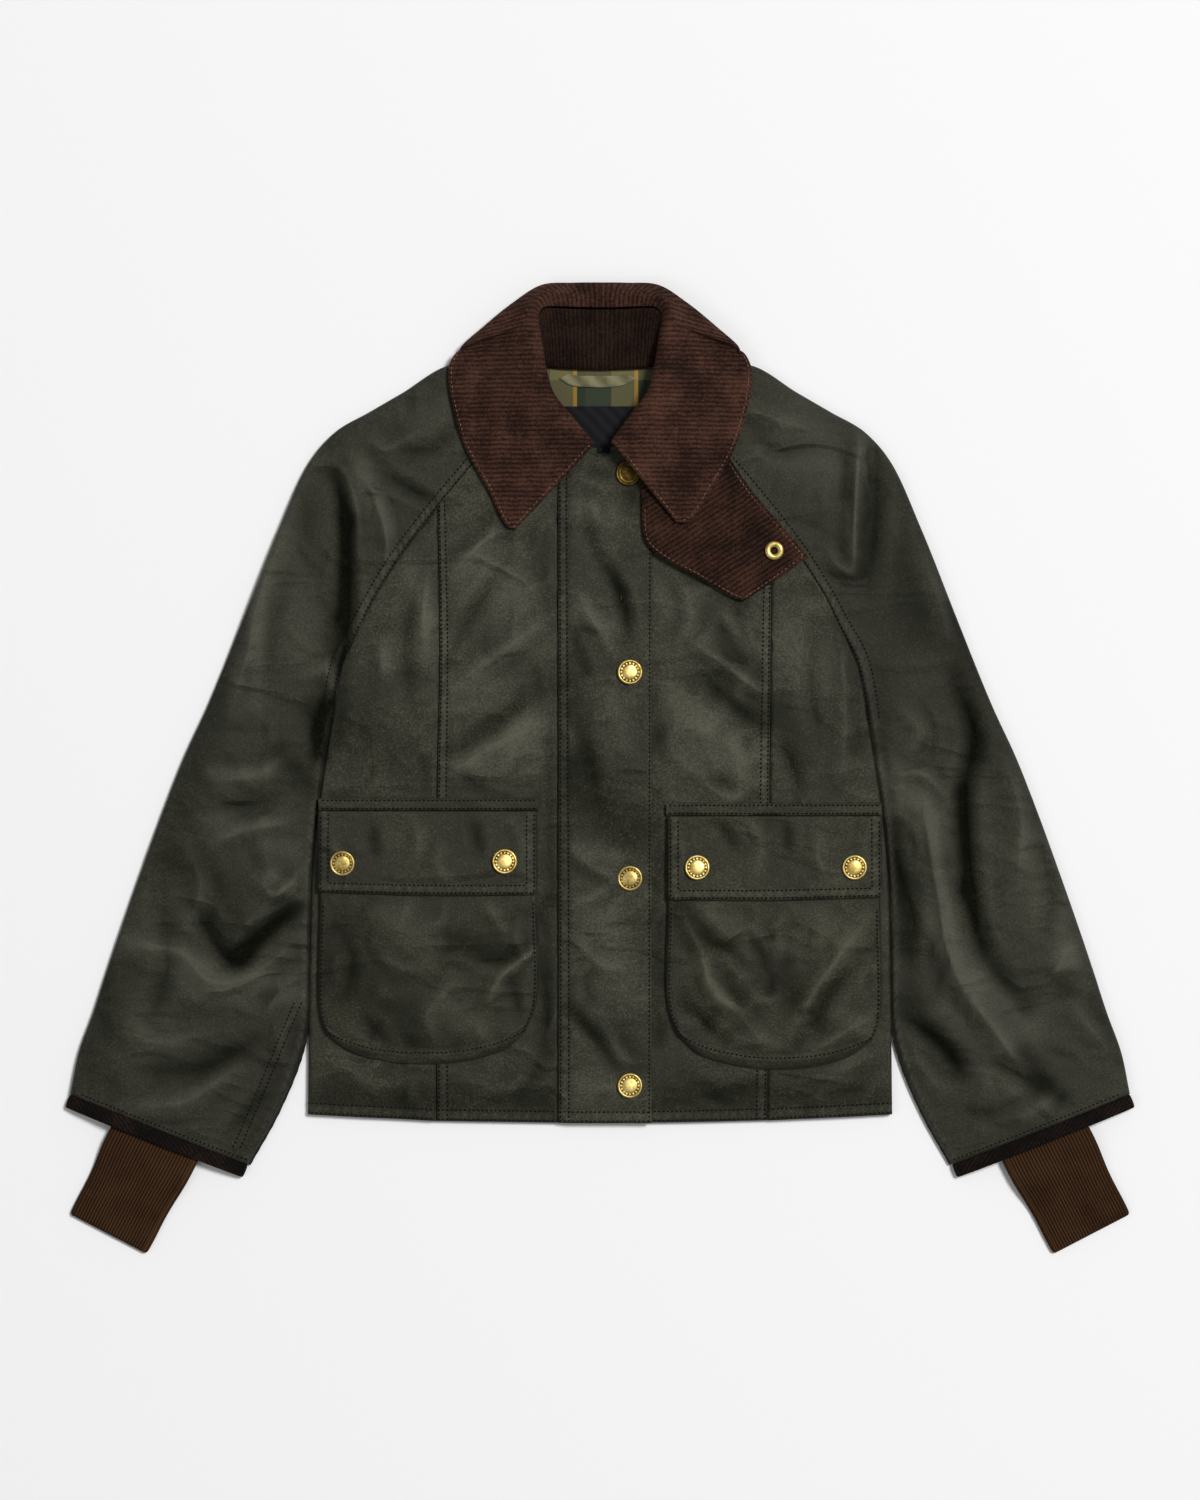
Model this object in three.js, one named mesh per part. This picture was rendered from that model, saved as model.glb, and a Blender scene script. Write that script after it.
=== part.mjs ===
// A cropped waxed cotton jacket with raglan sleeves, laid flat on its back on a table.
//
// Millimetres. +X is the viewer's right, which is the wearer's left. +Y runs towards the collar.
// +Z is up, and the table is at z = 0. Pieces are named for the wearer's side.
// Every cloth piece is a wall: its outer face is worked out as a grid of points, and its inner
// face is the same grid moved in by the wall's thickness. What lies on a panel starts from that
// panel's own height, moved out.

import * as THREE from 'three';

// Walls and the air between them.
const SHELL = 2.2;          // waxed cotton with its lining
const FLAP_WALL = 1.8;      // two layers of waxed cotton, as in a pocket flap
const POCKET_WALL = 1.6;    // pocket cloth, turned in at its edges
const CORD_WALL = 3.2;      // two layers of corduroy
const THIN = 1.0;           // lining, label and tape
const SEAM = 0.3;           // air at a seam
const AIR = 0.4;            // air under a piece that lies on another
const FOLD = 6;             // height of a folded edge: two walls with a little air between
const SWELL = 2;            // how far the cloth stands above its folded edges

// Main sizes of the garment.
const HEM_Y = -266.5;       // hem at the middle
const HEM_RISE = 6.5;       // how much higher the hem is at the sides
const HALF_HEM = 219.5;     // half the hem's width
const NECK_X = 52.5;        // where the raglan seam meets the neck
const NECK_Y = 280.5;
const NECK_LOW_Y = 234;     // lowest point of the front neckline
const BACK_NECK_Y = 298.2;
const ARMPIT = [194.5, 79];
const COLLAR_TOP_Y = 364.2; // top of the rolled collar
const CUFF_CLOSE = 30;      // length over which the open armhole becomes a closed tube

// Storm flap, sewn to the wearer's right front and closed over the left front with snaps.
const FLAP_LEFT = -31.5;
const FLAP_RIGHT = 38.7;
const UNDERLAP_X = -18;     // edge of the left front, hidden under the storm flap
const SNAP_X = 22.5;
const SNAP_YS = [72, -82.5, -237.8];
const THROAT_SNAP = [21.2, 220.8];

// Princess seams, from the raglan seam down to the hem.
const PRINCESS = {
  right: [[-123, -265], [-122.5, -24], [-120.5, 88], [-122, 197]],
  left: [[126, -264.5], [127.5, -24], [128.5, 100], [129.5, 187.5]],
};

// Body side, from the hem up to the armpit.
const BODY_SIDE = [
  [219.5, -260], [218.8, -195], [218, -150], [217.2, -110], [215.5, -73], [210.3, -24], [203.3, 21],
    [193.4, 77.5],
];

// Raglan seam, from the neck down to the armpit. The back seam lies under the front one.
const RAGLAN = [
  [NECK_X, NECK_Y], [74, 255], [98, 226], [122, 197], [152, 157], [168.5, 130.5], [181, 106], ARMPIT,
];

// Sleeve sections from neck to wrist: the inner edge, which is the raglan seam down to the armpit
// and the underarm below it, and the outer folded edge.
const SLEEVE = [
  { inner: [NECK_X, NECK_Y], outer: [50.5, 295] },
  { inner: [74, 255], outer: [80, 299.5] },
  { inner: [98, 226], outer: [113, 302.5] },
  { inner: [122, 197], outer: [148, 282] },
  { inner: [138, 176.5], outer: [173.5, 267.2] },
  { inner: [152, 157], outer: [198, 253] },
  { inner: [168.5, 130.5], outer: [218, 230.5] },
  { inner: [181, 106], outer: [242, 178] },
  { inner: ARMPIT, outer: [268, 112.5] },
  { inner: [205, 21], outer: [294.5, 47] },
  { inner: [211.4, -24], outer: [312.5, 8] },
  { inner: [216.5, -73], outer: [330.5, -38] },
  { inner: [218.2, -112], outer: [345, -78] },
  { inner: [219, -152], outer: [358, -115] },
  { inner: [220, -192], outer: [370.5, -152] },
  { inner: [227, -221], outer: [380.5, -183] },
  { inner: [243, -260], outer: [391.5, -213.5] },
  { inner: [264, -297.5], outer: [398, -244.5] },
];
const ARMPIT_ROW = 8;
const FINE_ROWS = [3, 7, 8, 9, 15, 16];
const BINDING_WIDTH = 10.5;
const BINDING_WALL = 3;
const BINDING_PROUD = 0.8;

// Knit cuff, sewn inside the sleeve and showing below it.
const KNIT_TOP = [334.5, -282.6];
const KNIT_END = [369.5, -350.1];
const KNIT_INSIDE = 22;
const KNIT_HALF_TOP = 35;
const KNIT_HALF_END = 32;
const KNIT_WALL = 1.9;
const KNIT_HEIGHT = 4.4;
const KNIT_RIBS = 24;       // ribs across each face
const RIB_HEIGHT = 0.5;

// Largest folds of the cloth: a soft ridge, or a trough where its rise is negative.
const BODY_FOLDS = [
  { from: [-112, 20], to: [-45, 62], half: 13, rise: -1.6 },
  { from: [-110, 36], to: [-50, 80], half: 12, rise: 2.2 },
  { from: [-112, 98], to: [-72, 140], half: 11, rise: -1.4 },
  { from: [70, 78], to: [116, 32], half: 12, rise: -1.6 },
  { from: [78, 92], to: [120, 62], half: 11, rise: 2.2 },
  { from: [-160, 60], to: [-176, -8], half: 13, rise: 1.8 },
  { from: [136, 30], to: [152, -8], half: 12, rise: 1.8 },
  { from: [176, 70], to: [180, 0], half: 12, rise: 1.8 },
];
const FLAP_FOLDS = [
  { from: [-16, 116], to: [16, 98], half: 10, rise: 1.6 },
  { from: [-14, -58], to: [14, -84], half: 11, rise: 1.4 },
  { from: [-16, -176], to: [12, -228], half: 11, rise: -1 },
];
const SLEEVE_FOLDS = {
  right: [
    { from: [198, 236], to: [181, 160], half: 10, rise: 4.2 },
    { from: [206, 222], to: [202, 120], half: 11, rise: -1.8 },
    { from: [222, -86], to: [262, -112], half: 13, rise: 3.2 },
    { from: [262, -112], to: [292, -72], half: 13, rise: 2.6 },
    { from: [240, -118], to: [280, -150], half: 13, rise: -1.8 },
    { from: [350, -132], to: [288, -170], half: 15, rise: 3 },
    { from: [270, 60], to: [298, -30], half: 16, rise: 2.2 },
  ],
  left: [
    { from: [192, 238], to: [189, 150], half: 10, rise: 3.6 },
    { from: [212, 6], to: [256, -60], half: 14, rise: 2.6 },
    { from: [256, -60], to: [274, -152], half: 15, rise: 3.2 },
    { from: [274, -152], to: [312, -222], half: 15, rise: 2.8 },
    { from: [229, -72], to: [236, -150], half: 11, rise: -1.4 },
    { from: [280, 20], to: [290, -90], half: 15, rise: -1.6 },
    { from: [340, -130], to: [352, -160], half: 18, rise: 2 },
  ],
};
const POCKET_FOLDS = {
  right: [
    { from: [-48, -136], to: [-84, -170], half: 11, rise: 1.8 },
    { from: [-60, -126], to: [-130, -140], half: 13, rise: -0.8 },
  ],
  left: [
    { from: [62, -106], to: [82, -158], half: 9, rise: 1.6 },
    { from: [82, -158], to: [116, -196], half: 10, rise: 2.2 },
    { from: [206, -130], to: [166, -190], half: 13, rise: -0.8 },
  ],
};

// Pockets, measured on the wearer's right and left fronts.
const POCKETS = {
  right: { side: -1, centre: 46.8, edge: 210.6, top: -22.6, caps: [[-192.8, -71.3], [-71.3, -69.8]] },
  left: { side: 1, centre: 50.4, edge: 210.6, top: -26.4, caps: [[72.8, -74.3], [190.5, -74.3]] },
};
const STRIP_WIDTH = 9.4;
const POCKET_FLAP_DROP = 72;    // from the strip's top to the flap's lower edge
const POCKET_DROP = 199.5;      // from the strip's top to the lowest point of the bag
const POCKET_RISE = 3.4;        // hollow of the bag
const GUSSET = 8;               // width over which the bag's edge turns down

// Snap caps and the ring on the throat tab.
const CAP_RADIUS = 9.4;
const CAP_HEIGHT = 2.3;
const RING = { at: [130.5, 162.8], radius: 7.1, hole: 2.6, height: 2.2 };

// Collar sections from the front edge to the middle of the back, on the wearer's right.
// neck: foot of the stand. roll: seam of stand and fall, just inside the roll.
// crest: highest line of the roll. fold: where the fall turns under the shoulder or the back.
// edge: outer edge of the fall.
const COLLAR = [
  { neck: [-15, 240.5, 11.4], roll: [-3.6, 242.6, 15.4], crest: [-9, 236.4, 22.2],
    edge: [-63.5, 178.5, 12.2] },
  { neck: [-18.5, 243.4, 11.5], roll: [-7.6, 247.4, 15.7], crest: [-13.2, 242, 22.3],
    edge: [-70.3, 181.5, 12.2] },
  { neck: [-29, 252, 11.8], roll: [-19.6, 262, 16.4], crest: [-25.6, 258.6, 22.4], edge: [-83, 206.5, 12.2] },
  { neck: [-41, 268, 10.4], roll: [-34.5, 281, 17.4], crest: [-40, 279.5, 23.2], edge: [-101, 239.5, 12.2] },
  { neck: [-49, 284, 9.2], roll: [-40, 300, 18.2], crest: [-46, 300, 24.2], edge: [-111, 272, 12] },
  { neck: [-50, 294, 9], roll: [-42.5, 316, 18.2], crest: [-48.5, 317.5, 24.2], edge: [-114, 294, 11.4] },
  { neck: [-49.3, 297.5, 8.6], roll: [-43.6, 322, 18], crest: [-49.6, 324.5, 24],
    edge: [-112.6, 303.6, 10.4] },
  { neck: [-47.5, 300, 8], roll: [-44.8, 330, 17.7], crest: [-50.6, 333.5, 23.4], fold: [-104, 316.6],
    edge: [-100, 306.6, 0] },
  { neck: [-43.5, 301, 7], roll: [-45.4, 338, 17], crest: [-51, 343, 22.4], fold: [-88, 330.5],
    edge: [-88, 307, 0] },
  { neck: [-37, 300.5, 6.4], roll: [-42, 344, 16], crest: [-47, 350.5, 20.4], fold: [-66, 348.5],
    edge: [-66, 304, 0] },
  { neck: [-28, 299.5, 6.2], roll: [-31, 345, 14.6], crest: [-34, 355.5, 17.4], fold: [-44, 362.3],
    edge: [-44, 303.5, 0] },
  { neck: [-14, 298.8, 6], roll: [-15, 344.6, 13.2], crest: [-16, 355.5, 14.6], fold: [-20, 364],
    edge: [-20, 303, 0] },
  { neck: [0, 298.5, 6], roll: [0, 344.4, 12.8], crest: [0, 355.8, 14.2], fold: [0, COLLAR_TOP_Y],
    edge: [0, 303, 0] },
];
const WRAP_HEIGHT = 6.6;        // height of the outermost line where the fall turns under
// The wearer's left half is the same but for its front sections, which lie over the throat tab.
const LEFT_COLLAR_SHIFT = [
  { front: [3.8, 1.4, 5.6], tip: [-6.5, 5.2, 6.4] },
  { front: [3.2, 1.2, 5.2], tip: [-3.6, 2.6, 6.4] },
  { front: [1.4, 0.8, 4.2], tip: [1, 2.5, 6.4] },
  { front: [0, 0, 2], tip: [0, 0, 5] },
  { front: [0, 0, 0], tip: [0, 0, 1.6] },
];

// Throat tab: from under the wearer's left collar to its square end.
const TAB = {
  lower: [[31, 222], [31.2, 196], [33.5, 170], [42.8, 160.2], [72.8, 143.2], [101.3, 127.2], [108.6, 125.6]],
  upper: [[92, 240], [114.8, 206.3], [137.3, 180], [156.2, 158.2]],
  rootHeight: 11.8,
  endHeight: 9.4,
};

const materials = {
  waxed: new THREE.MeshStandardMaterial({ color: '#3b3d33', roughness: 0.5 }),
  corduroy: new THREE.MeshStandardMaterial({ color: '#3c251c', roughness: 0.95 }),
  knit: new THREE.MeshStandardMaterial({ color: '#3a2413', roughness: 0.95 }),
  brass: new THREE.MeshStandardMaterial({ color: '#b8984a', roughness: 0.3, metalness: 1 }),
  lining: new THREE.MeshStandardMaterial({ color: '#4a4d38', roughness: 0.9 }),
  label: new THREE.MeshStandardMaterial({ color: '#1b1d22', roughness: 0.8 }),
  tape: new THREE.MeshStandardMaterial({ color: '#7c785a', roughness: 0.9 }),
};

const jacket = new THREE.Group();

const point = ([x, y, z = 0]) => new THREE.Vector3(x, y, z);
const lerp = THREE.MathUtils.lerp;
const ease = (low, high, value) => THREE.MathUtils.smoothstep(value, low, high);
const smoothLine = (points) => new THREE.CatmullRomCurve3(points.map(point), false, 'centripetal');
const mirror = (points) => points.map(([x, y]) => [-x, y]);
const evenSteps = (count) => Array.from({ length: count + 1 }, (_, i) => i / count);

/** Adds a named piece of the jacket. */
function add(name, geometry, material) {
  const mesh = new THREE.Mesh(geometry, material);
  mesh.name = name;
  jacket.add(mesh);
  return mesh;
}

/** A closed body from points and triangles, turned so that its faces point out. */
function closedBody(points, triangles) {
  const volume = triangles.reduce((sum, [a, b, c]) => (
    sum + points[a].dot(new THREE.Vector3().crossVectors(points[b], points[c])) / 6), 0);
  const index = triangles.flatMap(([a, b, c]) => (volume > 0 ? [a, b, c] : [a, c, b]));
  const geometry = new THREE.BufferGeometry().setFromPoints(points);
  geometry.setIndex(index);
  geometry.computeVertexNormals();
  return geometry;
}

/** Outward normals of a grid's points. level gives, for each point, how far its normal is laid level. */
function gridNormals(grid, faceUp, level) {
  const rows = grid.length;
  const columns = grid[0].length;
  const normals = grid.map((row, i) => row.map((_, j) => {
    const across = new THREE.Vector3().subVectors(row[Math.min(j + 1, columns - 1)], row[Math.max(j - 1, 0)]);
    const along = new THREE.Vector3().subVectors(grid[Math.min(i + 1, rows - 1)][j],
      grid[Math.max(i - 1, 0)][j]);
    return across.cross(along).normalize();
  }));
  const sample = normals[Math.floor(rows / 2)][Math.floor(columns / 4)];
  const turn = (sample.z > 0) === faceUp ? 1 : -1;
  return normals.map((row, i) => row.map((normal, j) => {
    normal.multiplyScalar(turn);
    normal.z *= 1 - level(i, j);
    return normal.normalize();
  }));
}

/** A cloth wall whose outer face is the grid. faceUp says which way the grid's first columns face. */
function clothWall(grid, wall, { faceUp = true, level = () => 0, normals } = {}) {
  const columns = grid[0].length;
  const rows = grid.length;
  const out = normals ?? gridNormals(grid, faceUp, level);
  const outer = grid.flat();
  const inner = grid.flatMap((row, i) => row.map((p, j) => p.clone().addScaledVector(out[i][j], -wall)));
  const count = outer.length;
  const id = (i, j) => i * columns + j;
  const triangles = [];
  for (let i = 0; i + 1 < rows; i += 1) {
    for (let j = 0; j + 1 < columns; j += 1) {
      const [a, b, c, d] = [id(i, j), id(i, j + 1), id(i + 1, j + 1), id(i + 1, j)];
      triangles.push([a, b, c], [a, c, d], [a + count, c + count, b + count],
        [a + count, d + count, c + count]);
    }
  }
  const border = [];
  for (let j = 0; j + 1 < columns; j += 1) border.push(id(0, j));
  for (let i = 0; i + 1 < rows; i += 1) border.push(id(i, columns - 1));
  for (let j = columns - 1; j > 0; j -= 1) border.push(id(rows - 1, j));
  for (let i = rows - 1; i > 0; i -= 1) border.push(id(i, 0));
  border.forEach((a, k) => {
    const b = border[(k + 1) % border.length];
    triangles.push([b, a, a + count], [b, a + count, b + count]);
  });
  return closedBody([...outer, ...inner], triangles);
}

/** A closed ring of cloth from loops of points: each is joined to the next, and the last to the first. */
function ringBody(loops) {
  const size = loops[0].length;
  const triangles = [];
  loops.forEach((_, k) => {
    const next = (k + 1) % loops.length;
    for (let j = 0; j < size; j += 1) {
      const step = (j + 1) % size;
      const [a, b, c, d] = [k * size + j, k * size + step, next * size + step, next * size + j];
      triangles.push([a, b, c], [a, c, d]);
    }
  });
  return closedBody(loops.flat(), triangles);
}

/** Points of a four-sided patch between its edge lines, at steps across and up. */
function patch({ left, right, bottom, top }, across, up) {
  const low = [bottom.getPointAt(0), bottom.getPointAt(1)];
  const high = [top.getPointAt(0), top.getPointAt(1)];
  return up.map((v) => across.map((u) => new THREE.Vector3()
    .addScaledVector(bottom.getPointAt(u), 1 - v)
    .addScaledVector(top.getPointAt(u), v)
    .addScaledVector(left.getPointAt(v), 1 - u)
    .addScaledVector(right.getPointAt(v), u)
    .addScaledVector(low[0], -(1 - u) * (1 - v))
    .addScaledVector(low[1], -u * (1 - v))
    .addScaledVector(high[0], -(1 - u) * v)
    .addScaledVector(high[1], -u * v)));
}

/** Sum of a table's folds at a place. */
function foldRise(folds, x, y) {
  return folds.reduce((sum, { from, to, half, rise }) => {
    const [dx, dy] = [to[0] - from[0], to[1] - from[1]];
    const share = THREE.MathUtils.clamp(((x - from[0]) * dx + (y - from[1]) * dy) / (dx * dx + dy * dy),
      0, 1);
    const distance = Math.hypot(x - from[0] - share * dx, y - from[1] - share * dy);
    return sum + rise * Math.exp(-((distance / half) ** 2));
  }, 0);
}

/** Half the body's width at a height on the garment. Above the armpit it opens along the sleeve. */
function bodyHalf(y) {
  if (y >= ARMPIT[1]) return ARMPIT[0] + (y - ARMPIT[1]);
  const k = Math.max(1, BODY_SIDE.findIndex(([, rowY]) => rowY >= y));
  const [[x0, y0], [x1, y1]] = [BODY_SIDE[k - 1], BODY_SIDE[k]];
  return lerp(x0, x1, THREE.MathUtils.clamp((y - y0) / (y1 - y0), 0, 1));
}

const hemY = (x) => HEM_Y + HEM_RISE * (x / HALF_HEM) ** 2;
const neckFrontY = (x) => NECK_LOW_Y + (NECK_Y - NECK_LOW_Y) * (Math.abs(x) / NECK_X) ** 1.5;

/** Height of the fronts' outer face above the table, away from the folded side edge. */
function frontTop(x, y) {
  const swell = SWELL * ease(0, 45, bodyHalf(y) - Math.abs(x)) * ease(0, 40, y - hemY(x));
  return Math.max(FOLD - 0.8, FOLD + swell + foldRise(BODY_FOLDS, x, y));
}

/** Height of the storm flap's outer face. It starts level with the right front and climbs over the left. */
function stormFlapTop(x, y) {
  const climb = (AIR + FLAP_WALL) * ease(FLAP_LEFT, UNDERLAP_X - 2, x);
  return frontTop(x, y) + climb + Math.max(0, foldRise(FLAP_FOLDS, x, y) + 0.4);
}

/** Share by which a side edge is closed, at a distance below the armpit. */
const closedBelow = (distance) => ease(0, CUFF_CLOSE, distance);

/** Height of a rounded edge at a distance in from it. */
const roundedEdge = (distance, radius) => radius
  * Math.sqrt(Math.max(0, 1 - (1 - Math.min(distance / radius, 1)) ** 2));

// Columns close to a folded edge, as multiples of its radius.
const FOLD_STEPS = [0, 0.6, 1.7];

function sidePanel(side) {
  const sign = side === 'right' ? -1 : 1;
  const place = (points) => points.map(([x, y]) => [sign * x, y]);
  const princess = PRINCESS[side].map(([x, y]) => [x + sign * SEAM / 2, y]);
  const junction = princess[princess.length - 1];
  const raglan = RAGLAN.slice(4).map(([x, y]) => [x - 0.45, y - 0.45]).reverse();
  const top = [place([BODY_SIDE[BODY_SIDE.length - 1]])[0], ...place(raglan.slice(1)),
    [junction[0], junction[1] - 0.6]];
  const lines = {
    left: smoothLine(place(BODY_SIDE)),
    right: smoothLine([...princess.slice(0, -1), [junction[0], junction[1] - 0.6]]),
    bottom: smoothLine([place([BODY_SIDE[0]])[0], [sign * 180, hemY(180)], [sign * 150, hemY(150)],
      princess[0]]),
    top: smoothLine(top),
  };
  const width = 96;
  const across = [...FOLD_STEPS.map((s) => (s * FOLD) / 2 / width), 0.16, 0.34, 0.54, 0.77, 1];
  const grid = patch(lines, across, evenSteps(18));
  grid.forEach((row) => row.forEach((p, j) => {
    const edge = (FOLD_STEPS[j] ?? 1) * FOLD / 2;
    const drop = FOLD / 2 - roundedEdge(edge, FOLD / 2);
    p.z = frontTop(p.x, p.y) - drop * closedBelow(ARMPIT[1] - p.y);
  }));
  const level = (i, j) => (j === 0 ? closedBelow(ARMPIT[1] - grid[i][0].y) : 0);
  add(`${side}_front_side`, clothWall(grid, SHELL, { level }), materials.waxed);
}

function centrePanels() {
  const raglanShare = RAGLAN.slice(0, 4).map(([x, y]) => [x - 0.2, y - 0.6]);
  const princessX = (side, shift) => PRINCESS[side].map(([x, y]) => [x + shift, y]);

  const rightPrincess = princessX('right', SEAM / 2);
  const rightTop = rightPrincess[rightPrincess.length - 1];
  const rightEdge = FLAP_LEFT - SEAM;
  const rightLines = {
    left: smoothLine([...rightPrincess.slice(0, -1), [rightTop[0], rightTop[1] - 0.6]]),
    right: smoothLine([[rightEdge, hemY(rightEdge)], [rightEdge, 0], [rightEdge, neckFrontY(rightEdge)]]),
    bottom: smoothLine([rightPrincess[0], [-80, hemY(80)], [rightEdge, hemY(rightEdge)]]),
    top: polyLine([[rightTop[0], rightTop[1] - 0.6], ...mirror(raglanShare.slice(0, 3)).reverse(),
      [-44, neckFrontY(44) - 0.4], [rightEdge, neckFrontY(rightEdge)]]),
  };
  add('right_front', panelOnTop(rightLines, [0, 0.17, 0.34, 0.51, 0.67, 0.775, 0.89, 1], 22),
    materials.waxed);

  const leftPrincess = princessX('left', -SEAM / 2);
  const leftTop = leftPrincess[leftPrincess.length - 1];
  const leftLines = {
    left: smoothLine([[UNDERLAP_X, hemY(UNDERLAP_X)], [UNDERLAP_X, 0], [UNDERLAP_X, neckFrontY(UNDERLAP_X)]]),
    right: smoothLine([...leftPrincess.slice(0, -1), [leftTop[0], leftTop[1] - 0.6]]),
    bottom: smoothLine([[UNDERLAP_X, hemY(UNDERLAP_X)], [50, hemY(50)], leftPrincess[0]]),
    top: polyLine([[UNDERLAP_X, neckFrontY(UNDERLAP_X)],
      ...[-6, 8, 22, 36, 46].map((x) => [x, neckFrontY(x) - 0.3]),
      ...raglanShare.slice(0, 3), [leftTop[0], leftTop[1] - 0.6]]),
  };
  add('left_front', panelOnTop(leftLines, [0, 0.12, 0.24, 0.36, 0.434, 0.55, 0.68, 0.84, 1], 22),
    materials.waxed);
}

/** A line of straight stretches through points, for outlines with corners. */
function polyLine(points) {
  const path = new THREE.CurvePath();
  points.slice(1).forEach((p, i) => path.add(new THREE.LineCurve3(point(points[i]), point(p))));
  return path;
}

/** A front panel that lies at the fronts' height, with plain edges. */
function panelOnTop(lines, across, rows) {
  const grid = patch(lines, across, evenSteps(rows));
  grid.flat().forEach((p) => { p.z = frontTop(p.x, p.y); });
  return clothWall(grid, SHELL);
}

function backPanel() {
  const side = BODY_SIDE.map(([x, y]) => [x, y]);
  const seam = RAGLAN.map(([x, y]) => [x - 0.8, y - 0.8]);
  const hem = [-1, -0.5, 0, 0.5, 1].map((s) => [s * HALF_HEM, hemY(s * HALF_HEM)]);
  const neck = [[-47, 294], [-40, 298.9], [0, BACK_NECK_Y], [40, 298.9], [47, 294]];
  const armpit = side[side.length - 1];
  const raglan = [...seam.slice(0, -1), armpit];
  const top = polyLine([...mirror(raglan).reverse(), ...neck, ...raglan]);
  const lines = {
    left: smoothLine(mirror(side)),
    right: smoothLine(side),
    bottom: smoothLine(hem),
    top,
  };
  const lengths = top.getCurveLengths();
  const cornerAt = (k) => lengths[raglan.length - 2 + k] / top.getLength();
  const edge = FOLD_STEPS.map((s) => (s * FOLD) / 2 / (2 * HALF_HEM));
  const half = [...edge, ...[0.15, 0.35, 0.55, 0.75, 0.9, 1].map((s) => s * cornerAt(0)), cornerAt(1),
    cornerAt(2), 0.46];
  const across = [...half, 0.5, ...half.map((e) => 1 - e).reverse()];
  const grid = patch(lines, across, evenSteps(11));
  const last = across.length - 1;
  grid.forEach((row) => row.forEach((p, j) => {
    const distance = (FOLD_STEPS[Math.min(j, last - j)] ?? 1) * FOLD / 2;
    const curl = FOLD / 2 - roundedEdge(distance, FOLD / 2) - (distance === 0 ? SEAM : 0);
    p.z = Math.max(0, curl) * closedBelow(ARMPIT[1] - p.y);
  }));
  const level = (i, j) => (j === 0 || j === last ? closedBelow(ARMPIT[1] - grid[i][j].y) : 0);
  add('back', clothWall(grid, SHELL, { faceUp: false, level }), materials.waxed);
}

function stormFlap() {
  const topXs = [FLAP_LEFT, -24, -16, -8, 0, 8, 16, 24, 31, FLAP_RIGHT];
  const topPoints = topXs.map((x) => [x, neckFrontY(x) - 0.3]);
  const lines = {
    left: smoothLine([[FLAP_LEFT, hemY(0)], [FLAP_LEFT, 0], topPoints[0]]),
    right: smoothLine([[FLAP_RIGHT, hemY(0)], [FLAP_RIGHT, 0], topPoints[topPoints.length - 1]]),
    bottom: smoothLine([[FLAP_LEFT, hemY(0)], [0, hemY(0)], [FLAP_RIGHT, hemY(0)]]),
    top: smoothLine(topPoints),
  };
  const grid = patch(lines, [0, 0.1, 0.2, 0.36, 0.52, 0.68, 0.84, 1], evenSteps(24));
  grid.flat().forEach((p) => { p.z = stormFlapTop(p.x, p.y); });
  add('storm_flap', clothWall(grid, FLAP_WALL), materials.waxed);
}

/** Height of a sleeve's upper face at a share t from its inner to its outer edge. */
function sleeveTop(side, row, t, x, y) {
  const inner = frontTop(Math.abs(x), y);
  const wrist = ease(SLEEVE.length - 5, SLEEVE.length - 1, row);
  const open = 1 - closedBelow((row - ARMPIT_ROW) * CUFF_CLOSE);
  const crown = lerp(SWELL, 6.2, wrist) * Math.sin(Math.PI * t) ** lerp(0.8, 0.7, wrist);
  const base = lerp(FOLD, inner, open * (1 - ease(0, 0.6, t)));
  const rise = foldRise(SLEEVE_FOLDS[side], Math.abs(x), y) * ease(0, 0.12, t) * ease(0, 0.12, 1 - t);
  return Math.max(FOLD - 0.6, base + crown * lerp(1, ease(0, 0.4, t), open) + rise * (1 - wrist * 0.6));
}

/**
 * Points round a sleeve: over the upper face from the inner edge, round the outer fold, back along
 * the table.
 */
function sleeveSection(side, row, inner, outer) {
  const sign = side === 'right' ? -1 : 1;
  const width = Math.hypot(outer[0] - inner[0], outer[1] - inner[1]);
  const radius = FOLD / 2;
  const closed = closedBelow((row - ARMPIT_ROW) * CUFF_CLOSE);
  const place = (distance, z) => point([
    sign * lerp(inner[0], outer[0], distance / width), lerp(inner[1], outer[1], distance / width), z]);
  const flatStart = FOLD_STEPS[2] * radius;
  const upper = [0, FOLD_STEPS[1] * radius, ...evenSteps(6).map((s) => lerp(flatStart, width - radius, s))];
  const points = upper.map((distance) => {
    const t = distance / width;
    const [x, y] = [lerp(inner[0], outer[0], t), lerp(inner[1], outer[1], t)];
    const drop = (radius - roundedEdge(distance, radius)) * closed;
    return place(distance, sleeveTop(side, row, t, x, y) - drop);
  });
  const turn = Math.SQRT1_2 * radius;
  points.push(place(width - radius + turn, radius + turn), place(width, radius),
    place(width - radius + turn, radius - turn));
  evenSteps(3).forEach((s) => points.push(place(lerp(width - radius, flatStart, s), 0)));
  const curl = radius - roundedEdge(FOLD_STEPS[1] * radius, radius);
  points.push(place(FOLD_STEPS[1] * radius, curl * closed), place(0, (radius - SEAM) * closed));
  return points;
}

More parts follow.
